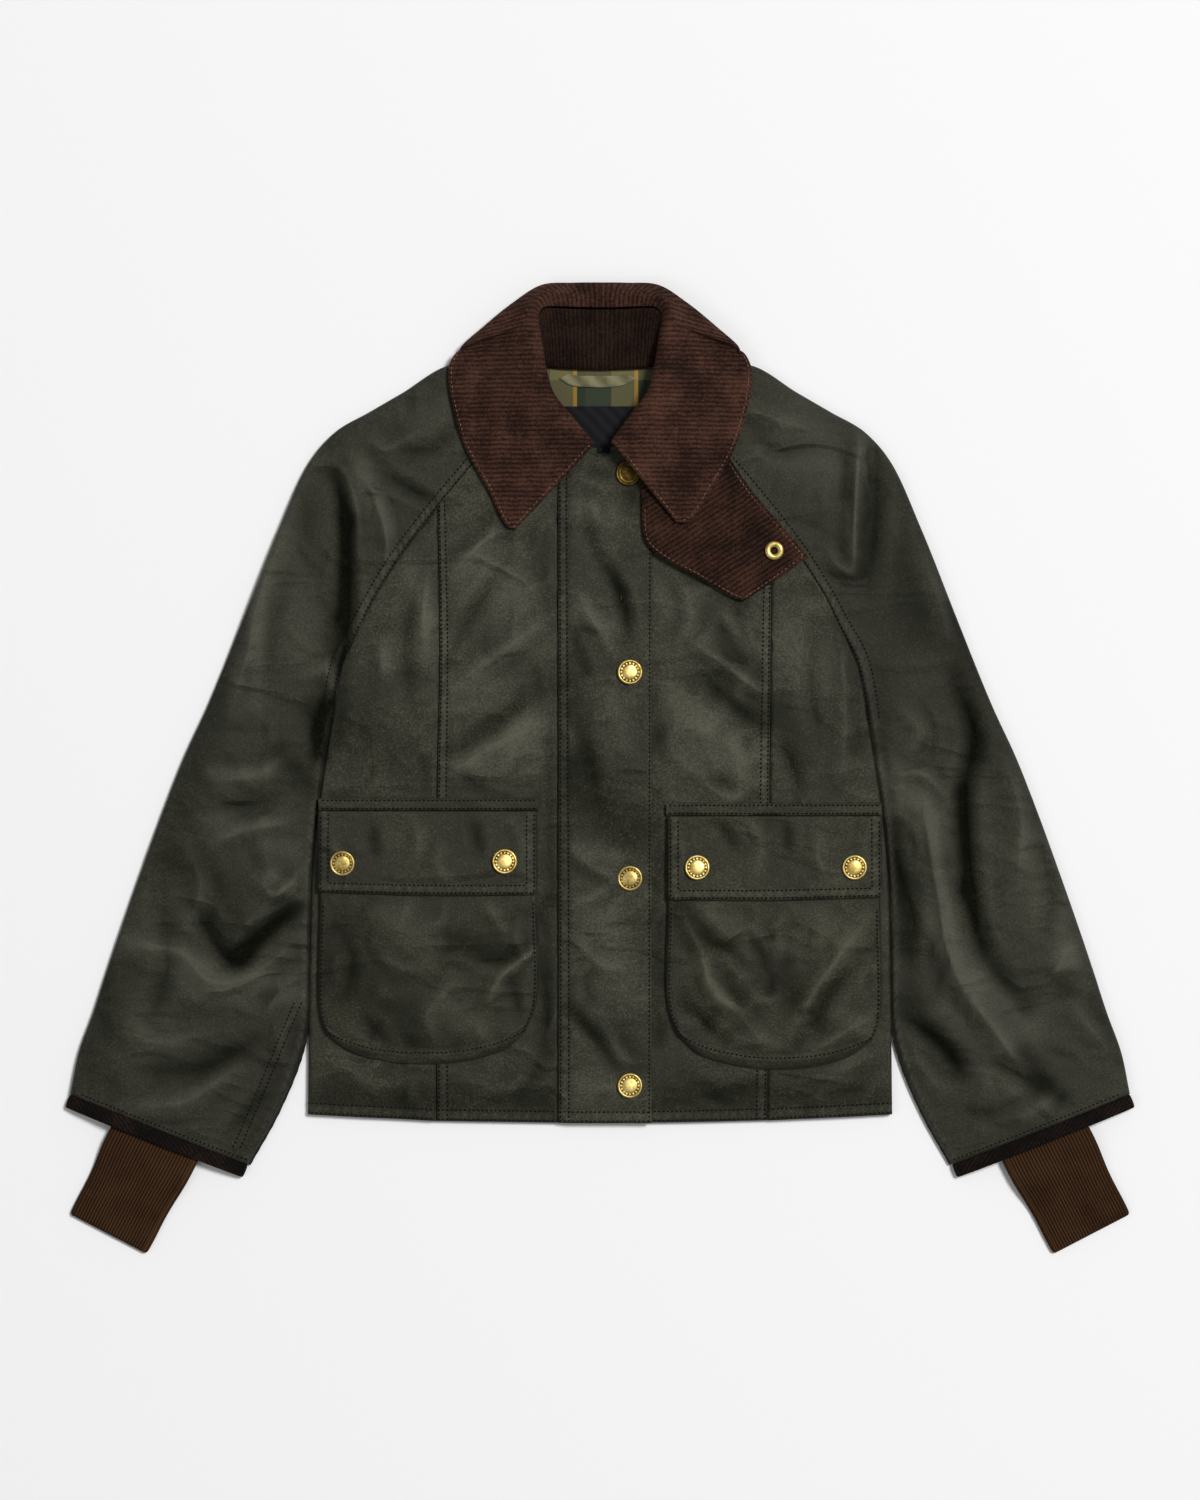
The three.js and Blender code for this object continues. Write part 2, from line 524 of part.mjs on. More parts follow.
function sleeve(side) {
  const inner = smoothLine(SLEEVE.map((row) => row.inner));
  const outer = smoothLine(SLEEVE.map((row) => row.outer));
  const count = SLEEVE.length - 1;
  const stations = [];
  for (let row = 0; row < count; row += 1) {
    stations.push(row);
    if (FINE_ROWS.includes(row)) stations.push(row + 0.5);
  }
  stations.push(count);
  const grid = stations.map((row) => {
    const a = inner.getPoint(row / count);
    const b = outer.getPoint(row / count);
    return sleeveSection(side, row, [a.x, a.y], [b.x, b.y]);
  });
  const last = grid[0].length - 1;
  const level = (i, j) => (j === 0 || j === last ? closedBelow((stations[i] - ARMPIT_ROW) * CUFF_CLOSE) : 0);
  add(`${side}_sleeve`, clothWall(grid, SHELL, { level }), materials.waxed);
}

/** A flattened loop round the wrist, at a height profile over its width. */
function wristLoop(sign, inner, outer, steps, underSteps, topAt, bottom, radius) {
  const width = Math.hypot(outer[0] - inner[0], outer[1] - inner[1]);
  const place = (distance, z) => point([
    sign * lerp(inner[0], outer[0], distance / width), lerp(inner[1], outer[1], distance / width), z]);
  const middle = bottom + radius;
  const flat = (shares) => shares.map((s) => lerp(radius, width - radius, s));
  const turn = Math.SQRT1_2;
  return [
    place(0, middle),
    place(radius * (1 - turn), middle + radius * turn),
    ...flat(steps).map((d) => place(d, topAt(d / width))),
    place(width - radius * (1 - turn), middle + radius * turn),
    place(width, middle),
    place(width - radius * (1 - turn), middle - radius * turn),
    ...flat(underSteps).reverse().map((d) => place(d, bottom)),
    place(radius * (1 - turn), middle - radius * turn),
  ];
}

function binding(side) {
  const sign = side === 'right' ? -1 : 1;
  const { inner, outer } = SLEEVE[SLEEVE.length - 1];
  const width = Math.hypot(outer[0] - inner[0], outer[1] - inner[1]);
  const across = [(outer[0] - inner[0]) / width, (outer[1] - inner[1]) / width];
  const down = [across[1], -across[0]];
  const steps = evenSteps(12);
  const crown = (t) => 6.2 * Math.sin(Math.PI * t) ** 0.7;
  const loop = (along, inset) => {
    const shift = [down[0] * along, down[1] * along];
    const a = [inner[0] + shift[0] + across[0] * inset, inner[1] + shift[1] + across[1] * inset];
    const b = [outer[0] + shift[0] - across[0] * inset, outer[1] + shift[1] - across[1] * inset];
    const radius = (FOLD + BINDING_PROUD) / 2 - inset;
    const top = (t) => FOLD + BINDING_PROUD + crown(t) - inset;
    return wristLoop(sign, a, b, steps, evenSteps(6), top, inset, radius);
  };
  const start = SEAM;
  const end = BINDING_WIDTH;
  const loops = [loop(start, 0.7), loop(start + 2.5, 0), loop(end - 3, 0), loop(end - 0.6, 0.9),
    loop(end, 1.8),
    loop(end - 0.6, BINDING_WALL), loop(start, BINDING_WALL)];
  add(`${side}_cuff_binding`, ringBody(loops), materials.corduroy);
}

function knitCuff(side) {
  const sign = side === 'right' ? -1 : 1;
  const length = Math.hypot(KNIT_END[0] - KNIT_TOP[0], KNIT_END[1] - KNIT_TOP[1]);
  const down = [(KNIT_END[0] - KNIT_TOP[0]) / length, (KNIT_END[1] - KNIT_TOP[1]) / length];
  const across = [-down[1], down[0]];
  const lift = (along) => 3.4 * (1 - ease(BINDING_WIDTH + 2, 40, along));
  const steps = evenSteps(KNIT_RIBS * 2);
  const loop = (along, inset, ribbed) => {
    const half = lerp(KNIT_HALF_TOP, KNIT_HALF_END, THREE.MathUtils.clamp(along / length, 0, 1)) - inset;
    const centre = [KNIT_TOP[0] + down[0] * along, KNIT_TOP[1] + down[1] * along];
    const a = [centre[0] - across[0] * half, centre[1] - across[1] * half];
    const b = [centre[0] + across[0] * half, centre[1] + across[1] * half];
    const bottom = lift(along) + inset;
    const height = KNIT_HEIGHT - 2 * inset;
    const points = wristLoop(sign, a, b, steps, evenSteps(8), () => bottom + height, bottom, height / 2);
    if (!ribbed) return points;
    const first = 2;
    steps.forEach((_, k) => { points[first + k].z += k % 2 ? RIB_HEIGHT : 0; });
    return points;
  };
  const alongs = [-KNIT_INSIDE, BINDING_WIDTH + 2, 26, 40, length - 1.2];
  const outerLoops = alongs.map((along) => loop(along, 0, true));
  const lip = [loop(length, 0.8, false)];
  const innerLoops = [...alongs].reverse().map((along) => loop(along, KNIT_WALL, false));
  add(`${side}_knit_cuff`, ringBody([...outerLoops, ...lip, ...innerLoops]), materials.knit);
}

/** Control points of one collar section, from the foot of the stand to the outer edge. */
function collarLine({ neck, roll, crest, fold, edge }) {
  const [foot, seam, top, end] = [neck, roll, crest, edge].map(point);
  if (fold) {
    const turn = point([...fold, WRAP_HEIGHT]);
    const shoulder = turn.clone().lerp(top, Math.min(0.4, (WRAP_HEIGHT * 0.32) / turn.distanceTo(top)));
    shoulder.z = WRAP_HEIGHT * 1.72;
    const over = top.clone().lerp(shoulder, 0.5);
    over.z = lerp(top.z, WRAP_HEIGHT * 2.06, 0.55);
    const reach = Math.hypot(turn.x - end.x, turn.y - end.y);
    const under = turn.clone().lerp(end, Math.min(0.5, WRAP_HEIGHT / reach));
    under.z = 0;
    return [foot, seam, top, over, shoulder, turn, under, end];
  }
  const leaf = [0.28, 0.5, 0.7, 0.86].map((s) => {
    const p = top.clone().lerp(end, s);
    p.z = lerp(end.z, top.z, (1 - s) ** 1.5);
    return p;
  });
  return [foot, seam, top, ...leaf, end];
}

function collar() {
  const rightHalf = COLLAR.map(collarLine);
  const leftHalf = COLLAR.slice(0, -1).map((section, i) => {
    const shift = LEFT_COLLAR_SHIFT[i];
    const moved = (p, by = [0, 0, 0]) => [-p[0] + by[0], p[1] + by[1], p[2] + by[2]];
    return collarLine({
      neck: moved(section.neck, shift?.front.map((s, k) => (k === 2 ? 0.2 * s : s))),
      roll: moved(section.roll, shift?.front),
      crest: moved(section.crest, shift?.front),
      fold: section.fold && [-section.fold[0], section.fold[1]],
      edge: moved(section.edge, shift?.tip),
    });
  });
  const sections = [...rightHalf, ...leftHalf.reverse()];

  // Rows along the band, each a smooth line through the same point of every section.
  const CONTROL_GAPS = sections[0].length - 1;
  const standSteps = [0, 0.5, 1 - 0.035].map((s) => s / CONTROL_GAPS);
  const fallSteps = [0.035, 0.5, 1, 1.6, 2.4, 3, 3.5, 4, 5, 6].map((s) => (s + 1) / CONTROL_GAPS);
  const across = [...standSteps, ...fallSteps];
  const profiles = sections.map((controls) => {
    const curve = new THREE.CatmullRomCurve3(controls, false, 'centripetal');
    return across.map((s) => curve.getPoint(s));
  });
  const columns = evenSteps(38);
  const rows = across.map((_, k) => {
    const band = new THREE.CatmullRomCurve3(profiles.map((profile) => profile[k]), false, 'centripetal');
    return columns.map((u) => {
      const p = band.getPoint(u);
      p.z = Math.max(0, p.z);
      return p;
    });
  });
  const normals = gridNormals(rows, true, () => 0);
  const stand = standSteps.length;
  normals[stand - 1].forEach((n, j) => {
    n.add(normals[stand][j]).normalize();
    normals[stand][j].copy(n);
  });
  const share = (from, to) => normals.slice(from, to).map((row) => row.map((n) => n.clone()));
  const options = (from, to) => ({ normals: share(from, to) });
  add('collar_stand', clothWall(rows.slice(0, stand), CORD_WALL, options(0, stand)), materials.corduroy);
  add('collar_fall', clothWall(rows.slice(stand), CORD_WALL, options(stand, rows.length)),
    materials.corduroy);
}

function throatTab() {
  const lines = {
    left: smoothLine([TAB.lower[0], [62, 234], TAB.upper[0]]),
    right: smoothLine([TAB.lower[TAB.lower.length - 1], [133, 142], TAB.upper[TAB.upper.length - 1]]),
    bottom: smoothLine(TAB.lower),
    top: smoothLine(TAB.upper),
  };
  const grid = patch(lines, evenSteps(9), evenSteps(6));
  grid.flat().forEach((p) => {
    p.z = lerp(TAB.rootHeight, TAB.endHeight, ease(40, 130, p.x)) + CORD_WALL;
  });
  add('throat_tab', clothWall(grid, CORD_WALL), materials.corduroy);
}

/** Outer height of a pocket bag above its panel, at a distance in from its sewn edge. */
function bagHeight(y, top, distance) {
  const full = lerp(1, POCKET_RISE, ease(0, 60, top - STRIP_WIDTH - y)) + POCKET_WALL;
  return AIR + full * roundedEdge(distance, GUSSET) / GUSSET;
}

function pocket(side) {
  const { side: sign, centre, edge, top, caps } = POCKETS[side];
  const [near, far] = [centre, edge].map((x) => sign * x);
  const lowest = top - POCKET_DROP;
  const panelTop = (p) => frontTop(p.x, p.y);

  // The bag, open at its top under the flap.
  const corner = lowest + 24;
  const lines = {
    left: smoothLine([[far - sign * 6.5, corner - 3], [far, corner + 14], [far, -100], [far, top - 14]]),
    right: smoothLine([[near + sign * 9, corner], [near, corner + 24], [near, -100], [near, top - 14]]),
    bottom: smoothLine([
      [far - sign * 6.5, corner - 3], [far - sign * 24, lowest + 9], [far - sign * 52, lowest + 1.6],
      [sign * 126, lowest], [near + sign * 50, lowest + 3], [near + sign * 24, lowest + 11],
      [near + sign * 9, corner],
    ]),
    top: smoothLine([[far, top - 14], [sign * 126, top - 14], [near, top - 14]]),
  };
  const edgeSteps = [0, 0.35, 0.7, 1.1].map((s) => (s * GUSSET) / 164);
  const across = [...edgeSteps, 0.16, 0.28, 0.4, 0.52, 0.64, 0.76, 0.86,
    ...edgeSteps.map((s) => 1 - s).reverse()];
  const bottomSteps = [0, 0.35, 0.7, 1.1].map((s) => (s * GUSSET) / 180);
  const up = [...bottomSteps, ...evenSteps(9).slice(1).map((s) => lerp(bottomSteps[3], 1, s))];
  const grid = patch(lines, across, up);
  grid.forEach((row, i) => row.forEach((p, j) => {
    const sideShare = Math.min(across[j], 1 - across[j]) * 164;
    const distance = Math.min(sideShare, up[i] * 180);
    const fold = foldRise(POCKET_FOLDS[side], p.x, p.y) * ease(GUSSET, 20, distance);
    p.z = panelTop(p) + bagHeight(p.y, top, distance) + fold;
  }));
  const last = across.length - 1;
  const level = (i, j) => (i === 0 || j === 0 || j === last ? 1 : 0);
  const normals = gridNormals(grid, true, level);
  [[0, 1], [last, last - 1]].forEach(([j, beside]) => {
    normals[0][j].addVectors(normals[0][beside], normals[1][j]).normalize();
  });
  add(`${side}_pocket`, clothWall(grid, POCKET_WALL, { normals }), materials.waxed);

  // The flap, which hangs from the strip and lies on the bag.
  const flapLow = top - POCKET_FLAP_DROP;
  const flapLines = {
    left: polyLine([[far - sign * 1.5, flapLow + 2], [far + sign * 0.6, flapLow + 6],
      [far + sign * 0.6, top - STRIP_WIDTH - SEAM]]),
    right: polyLine([[near + sign * 3, flapLow], [near + sign * 0.6, flapLow + 4],
      [near + sign * 0.6, top - STRIP_WIDTH - SEAM]]),
    bottom: smoothLine([[far - sign * 1.5, flapLow + 2], [sign * 128, flapLow - 0.8],
      [near + sign * 3, flapLow]]),
    top: smoothLine([[far + sign * 0.6, top - STRIP_WIDTH - SEAM],
      [near + sign * 0.6, top - STRIP_WIDTH - SEAM]]),
  };
  const flapTop = (x, y) => {
    const bag = bagHeight(y, top, GUSSET) + Math.max(0, foldRise(POCKET_FOLDS[side], x, y));
    return frontTop(x, y) + bag + AIR + FLAP_WALL;
  };
  const flap = patch(flapLines, [0, 0.09, 0.22, 0.36, 0.5, 0.64, 0.78, 0.91, 1],
    [0, 0.07, 0.3, 0.53, 0.77, 1]);
  flap.flat().forEach((p) => { p.z = flapTop(p.x, p.y); });
  add(`${side}_pocket_flap`, clothWall(flap, FLAP_WALL), materials.waxed);

  // The sewn strip that holds the flap.
  const strip = patch({
    left: smoothLine([[far + sign * 0.6, top - STRIP_WIDTH], [far + sign * 0.6, top]]),
    right: smoothLine([[near - sign * 0.8, top - STRIP_WIDTH], [near - sign * 0.8, top]]),
    bottom: smoothLine([[far + sign * 0.6, top - STRIP_WIDTH], [near - sign * 0.8, top - STRIP_WIDTH]]),
    top: smoothLine([[far + sign * 0.6, top], [near - sign * 0.8, top]]),
  }, evenSteps(9), [0, 1]);
  const stripWall = FLAP_WALL + 1;
  strip.flat().forEach((p) => { p.z = panelTop(p) + 2 * AIR + stripWall; });
  add(`${side}_pocket_strip`, clothWall(strip, stripWall), materials.waxed);

  caps.forEach(([x, y], k) => snapCap(`${side}_pocket_cap_${k + 1}`, x, y, flapTop(x, y)));
}

/** A domed snap cap with a raised rim, standing on cloth at a height. */
function snapCap(name, x, y, height) {
  const r = CAP_RADIUS;
  const h = CAP_HEIGHT;
  const profile = [[0, 0], [r * 0.8, 0], [r, h * 0.35], [r * 0.97, h * 0.7], [r * 0.86, h * 0.9],
    [r * 0.74, h * 0.82], [0, h]];
  const geometry = new THREE.LatheGeometry(profile.map(([a, b]) => new THREE.Vector2(a, b)), 14);
  add(name, weld(geometry), materials.brass).position.set(x, y, height + 2 * AIR);
}

/** Turns a lathe shape to stand on +Z, with shared points merged. */
function weld(geometry) {
  geometry.rotateX(Math.PI / 2);
  const position = geometry.getAttribute('position');
  const seen = new Map();
  const points = [];
  const ids = Array.from({ length: position.count }, (_, i) => {
    const p = new THREE.Vector3().fromBufferAttribute(position, i);
    const key = [p.x, p.y, p.z].map((c) => Math.round(c * 1e4)).join(',');
    if (!seen.has(key)) {
      seen.set(key, points.length);
      points.push(p);
    }
    return seen.get(key);
  });
  const triangles = [];
  const index = geometry.getIndex();
  for (let i = 0; i < index.count; i += 3) {
    const corners = [0, 1, 2].map((k) => ids[index.getX(i + k)]);
    if (new Set(corners).size === 3) triangles.push(corners);
  }
  return closedBody(points, triangles);
}

function tabRing() {
  const { at, radius: r, hole, height: h } = RING;
  const profile = [[hole, 0], [r * 0.85, 0], [r, h * 0.4], [r * 0.9, h * 0.8], [r * 0.65, h],
    [hole + 0.6, h * 0.75], [hole, 0]];
  const geometry = new THREE.LatheGeometry(profile.map(([a, b]) => new THREE.Vector2(a, b)), 18);
  const tabTop = lerp(TAB.rootHeight, TAB.endHeight, ease(40, 130, at[0])) + CORD_WALL;
  add('tab_ring', weld(geometry), materials.brass).position.set(at[0], at[1], tabTop + AIR);
}

/** The lining that shows in the neck, with the label, its small tab and the hanger loop. */
function neckPieces() {
  const level = SHELL + SEAM + THIN;
  const flat = (lines, across, up, height, wall = THIN) => {
    const grid = patch(lines, evenSteps(across), evenSteps(up));
    grid.flat().forEach((p) => { p.z = height(p); });
    return clothWall(grid, wall);
  };
  const box = (x0, x1, y0, y1) => ({
    left: smoothLine([[x0, y0], [x0, y1]]),
    right: smoothLine([[x1, y0], [x1, y1]]),
    bottom: smoothLine([[x0, y0], [x1, y0]]),
    top: smoothLine([[x0, y1], [x1, y1]]),
  });
  add('neck_lining', flat(box(-46, 46, 222, 298.1), 4, 4, () => level), materials.lining);
  const onLining = level + SEAM + THIN;
  add('neck_label', flat(box(-29, 41, 241, 271.5), 4, 2, () => onLining), materials.label);
  add('size_tab', flat(box(-2, 7, 231, 240.6), 1, 1, () => onLining), materials.label);
  const loop = {
    left: smoothLine([[-31, 292.5], [-24, 296]]),
    right: smoothLine([[28, 292.5], [21, 295.5]]),
    bottom: smoothLine([[-31, 292.5], [-22, 287.5], [-8, 286], [8, 286], [19, 288], [28, 292.5]]),
    top: smoothLine([[-24, 296], [-16, 294.6], [-6, 294.4], [6, 294.4], [14, 294.6], [21, 295.5]]),
  };
  const lift = (p) => onLining + 0.5 * Math.cos((Math.PI * p.x) / 60);
  add('hanger_loop', flat(loop, 10, 1, lift), materials.tape);
}

backPanel();
sidePanel('right');
sidePanel('left');
centrePanels();
stormFlap();
['right', 'left'].forEach((side) => {
  sleeve(side);
  binding(side);
  knitCuff(side);
  pocket(side);
});
collar();
throatTab();
tabRing();
snapCap('throat_snap', ...THROAT_SNAP, stormFlapTop(...THROAT_SNAP));
SNAP_YS.forEach((y, k) => snapCap(`front_snap_${k + 1}`, SNAP_X, y, stormFlapTop(SNAP_X, y)));
neckPieces();

export default jacket;
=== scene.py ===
# %% [markdown]
# # A waxed cotton jacket, laid flat
# The jacket lies on its back on a pale table, seen from straight above. Its cloth is waxed cotton:
# stiff, a little shiny, and full of soft dents that show as light and dark. The collar, throat tab
# and cuff bindings are corduroy, the cuffs are rib knit and the snaps are brass. The frame holds
# the solids of every piece, and each piece here is a finer sheet laid over its own solid.

import math

import bpy
import numpy as np
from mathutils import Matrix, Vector


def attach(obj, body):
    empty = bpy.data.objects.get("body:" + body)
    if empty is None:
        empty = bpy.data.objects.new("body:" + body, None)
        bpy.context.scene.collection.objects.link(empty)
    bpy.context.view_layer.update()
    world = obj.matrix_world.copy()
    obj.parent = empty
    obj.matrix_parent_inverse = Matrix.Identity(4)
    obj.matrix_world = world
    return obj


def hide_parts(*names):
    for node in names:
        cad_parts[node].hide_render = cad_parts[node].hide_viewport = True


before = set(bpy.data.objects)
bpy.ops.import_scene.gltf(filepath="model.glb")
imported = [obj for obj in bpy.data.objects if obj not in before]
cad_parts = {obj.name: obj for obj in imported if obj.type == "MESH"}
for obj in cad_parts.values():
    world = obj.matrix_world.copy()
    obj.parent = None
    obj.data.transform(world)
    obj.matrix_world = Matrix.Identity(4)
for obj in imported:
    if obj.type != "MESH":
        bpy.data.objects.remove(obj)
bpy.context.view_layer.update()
print("solids in the frame:", len(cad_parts))

# %% [markdown]
# ## Lines through points
# A sewing pattern is drawn with smooth lines through a few marks. A Catmull-Rom line does the same:
# it passes through every mark and has no corners. Everything here is in millimetres until a mesh
# is made, because cloth, seams and stitches are all known in millimetres.


# %% A smooth line and a straight one
def curve(marks, t):
    """Points of a smooth line through marks, at t from 0 to 1, each mark one equal step."""
    p = np.asarray(marks, float)
    p = np.vstack([2 * p[0] - p[1], p, 2 * p[-1] - p[-2]])
    place = np.clip(np.asarray(t, float), 0, 1) * (len(p) - 3)
    k = np.minimum(place.astype(int), len(p) - 4)
    f = (place - k)[:, None]
    a, b, c, d = p[k], p[k + 1], p[k + 2], p[k + 3]
    gap = lambda m, n: np.maximum(np.sqrt(np.linalg.norm(n - m, axis=1)), 1e-4)[:, None]
    ab, bc, cd = gap(a, b), gap(b, c), gap(c, d)
    out = ((b - a) / ab - (c - a) / (ab + bc) + (c - b) / bc) * bc
    into = ((c - b) / bc - (d - b) / (bc + cd) + (d - c) / cd) * bc
    return b + out * f + (3 * (c - b) - 2 * out - into) * f**2 + (2 * (b - c) + out + into) * f**3


def even(points, shares):
    """Points along a dense line at shares of its length."""
    step = np.linalg.norm(np.diff(points, axis=0), axis=1)
    run = np.concatenate([[0], np.cumsum(step)])
    return np.stack([np.interp(np.asarray(shares) * run[-1], run, points[:, k])
                     for k in range(points.shape[1])], axis=1)


def smooth(marks):
    return curve(marks, np.linspace(0, 1, 60 * len(marks)))


def straight(marks):
    return even(np.asarray(marks, float), np.linspace(0, 1, 1200))


def ease(low, high, value):
    s = np.clip((np.asarray(value, float) - low) / (high - low), 0, 1)
    return s * s * (3 - 2 * s)


def mix(a, b, s):
    return a + (b - a) * s


print("line check:", even(straight([[0, 0], [30, 40]]), [0.5]))

# %% [markdown]
# ## Sizes of the garment
# These are the same sizes as the solids have. The two fronts, the sleeves and the back meet on
# them, so the fine sheets land on the solids.

# %% Sizes
SHELL, FLAP_WALL, POCKET_WALL, CORD_WALL, THIN = 2.2, 1.8, 1.6, 3.2, 1.0
AIR, FOLD, SWELL = 0.4, 6.0, 2.0
HEM_Y, HEM_RISE, HALF_HEM = -266.5, 6.5, 219.5
NECK_X, NECK_Y, NECK_LOW_Y, BACK_NECK_Y = 52.5, 280.5, 234.0, 298.2
ARMPIT = (194.5, 79.0)
FLAP_LEFT, FLAP_RIGHT, UNDERLAP_X = -31.5, 38.7, -18.0
PRINCESS = {
    "right": [[-123, -265], [-122.5, -24], [-120.5, 88], [-122, 197]],
    "left": [[126, -264.5], [127.5, -24], [128.5, 100], [129.5, 187.5]],
}
BODY_SIDE = [[219.5, -260], [218.8, -195], [218, -150], [217.2, -110], [215.5, -73], [210.3, -24],
             [203.3, 21], [193.4, 77.5]]
RAGLAN = [[NECK_X, NECK_Y], [74, 255], [98, 226], [122, 197], [152, 157], [168.5, 130.5], [181, 106],
          list(ARMPIT)]
SLEEVE_INNER = [
    [NECK_X, NECK_Y], [74, 255], [98, 226], [122, 197], [138, 176.5], [152, 157], [168.5, 130.5],
    [181, 106], list(ARMPIT), [204.6, 21], [211.2, -24], [216.2, -73], [217.9, -112], [218.6, -152],
    [219.6, -192], [226.5, -221], [243, -260], [264, -297.5],
]
SLEEVE_OUTER = [
    [50.5, 295], [80, 299.5], [113, 302.5], [148, 282], [173.5, 267.2], [198, 253], [218, 230.5],
    [242, 178], [268, 112.5], [294.5, 47], [312.5, 8], [330.5, -38], [345, -78], [358, -115],
    [370.5, -152], [380.5, -183], [391.5, -213.5], [398, -244.5],
]
ARMPIT_ROW = 8


def hem_y(x):
    return HEM_Y + HEM_RISE * (np.asarray(x) / HALF_HEM) ** 2


def neck_front_y(x):
    return NECK_LOW_Y + (NECK_Y - NECK_LOW_Y) * (np.abs(x) / NECK_X) ** 1.5


def body_half(y):
    xs, ys = np.array(BODY_SIDE).T
    return np.where(y >= ARMPIT[1], ARMPIT[0] + (y - ARMPIT[1]), np.interp(y, ys, xs))


print("hem width", 2 * HALF_HEM, "mm, back length", BACK_NECK_Y - HEM_Y, "mm")

# %% [markdown]
# ## Folds placed one by one
# Waxed cotton doesn't fall in soft waves. It keeps the dents of the last time it was worn: short
# ridges with sharp crests and flat flanks, deepest where a sleeve bends or a flap is pulled.
# A cloth simulation gives the waves of a softer cloth, so each main crease is drawn here
# as a line on the cloth with a half width and a rise. A trough has a rise below zero. The large
# ones, wide and rounded, are in the solids too.

# %% How a fold lifts the cloth
def distance_to(line, x, y):
    """Distance from each place to a line, and how far along the line its nearest point is."""
    dense = np.asarray(line, float)
    if len(line) > 2:
        dense = curve(line, np.linspace(0, 1, 8 * (len(line) - 1) + 1))
    best, along = np.full(np.shape(x), 1e9), np.zeros(np.shape(x))
    count = len(dense) - 1
    for k in range(count):
        (ax, ay), (bx, by) = dense[k], dense[k + 1]
        dx, dy = bx - ax, by - ay
        s = np.clip(((x - ax) * dx + (y - ay) * dy) / (dx * dx + dy * dy), 0, 1)
        d = np.hypot(x - ax - s * dx, y - ay - s * dy)
        closer = d < best
        best = np.where(closer, d, best)
        along = np.where(closer, (k + s) / count, along)
    return best, along


def round_folds(folds, x, y):
    """The solids' wide folds: from, to, half width, rise."""
    total = np.zeros(np.shape(x))
    for x0, y0, x1, y1, half, rise in folds:
        d, _ = distance_to([[x0, y0], [x1, y1]], x, y)
        total += rise * np.exp(-((d / half) ** 2))
    return total


# The section of a crease, in half widths: a sharp crest, then a slight dip in its flanks.
CREST_RISE, CREST_POWER, SHARPER = 1.6, 1.2, 0.85
FLANK_DIP, FLANK_AT, FLANK_HALF = 0.4, 2.1, 0.9


def creases(table, x, y):
    """Sharper creases on top: rise, half width, then the line. They die away at both ends."""
    total = np.zeros(np.shape(x))
    for rise, half, *line in table:
        d, along = distance_to(line, x, y)
        tip = np.sin(np.pi * np.clip(along, 0.04, 0.96)) ** 0.6
        half = SHARPER * half
        flank = FLANK_DIP * np.exp(-(((d - FLANK_AT * half) / (FLANK_HALF * half)) ** 2))
        total += rise * tip * (CREST_RISE * np.exp(-(d / half) ** CREST_POWER) - flank)
    return total


# The shares of patches and crests in the value of worn wax and painted light, and, in mm, the pale
# band of a stitched seam, partly wear and partly painted highlight, and the painted shade at its edge.
PATCH_SHARE, CREST_SHARE, DARK_SHARE = 0.75, 0.27, 0.85
WEAR_AND_SHEEN_AT, WEAR_AND_SHEEN_HALF, SEAM_SHADE_HALF, WEAR_AND_SHEEN_BEAT = 5.1, 2.2, 1.1, 7.3


def patches(table, sharp, grid, seams=""):
    """The value of each point of a grid, worn wax and painted light together: the placed patches,
    painted highlight on the crests of its creases and painted shade in their troughs, and along its
    seams a pale band between the two rows of stitches, partly wear and partly painted highlight,
    with painted shade at the seam's edge."""
    x, y = grid[..., 0], grid[..., 1]
    # The crests of the creases are painted pale and their troughs dark: painted highlight and painted shade
    # that follow the folds.
    wax_and_painted_light = PATCH_SHARE * round_folds(table, x, y) + CREST_SHARE * creases(sharp, x, y)
    left, right, low, high = runs(grid[..., :2])
    for name, away, along in (("l", left, low), ("r", right, low), ("b", low, left), ("t", high, left)):
        if name in seams:
            # Along a seam: a pale band between its rows, partly wear and partly painted highlight, and painted
            # shade right at its edge.
            beat = 0.55 + 0.45 * np.sin(2 * np.pi * along / WEAR_AND_SHEEN_BEAT + 2 * np.sin(along / 19))
            pale_wear_and_sheen = 0.5 * beat * np.exp(-(((away - WEAR_AND_SHEEN_AT) / WEAR_AND_SHEEN_HALF) ** 2))
            wax_and_painted_light = wax_and_painted_light + pale_wear_and_sheen - 0.5 * np.exp(-((away / SEAM_SHADE_HALF) ** 2))
    return {"wax_and_painted_light": np.clip(np.where(wax_and_painted_light < 0, DARK_SHARE * wax_and_painted_light, wax_and_painted_light), -1, 1)}


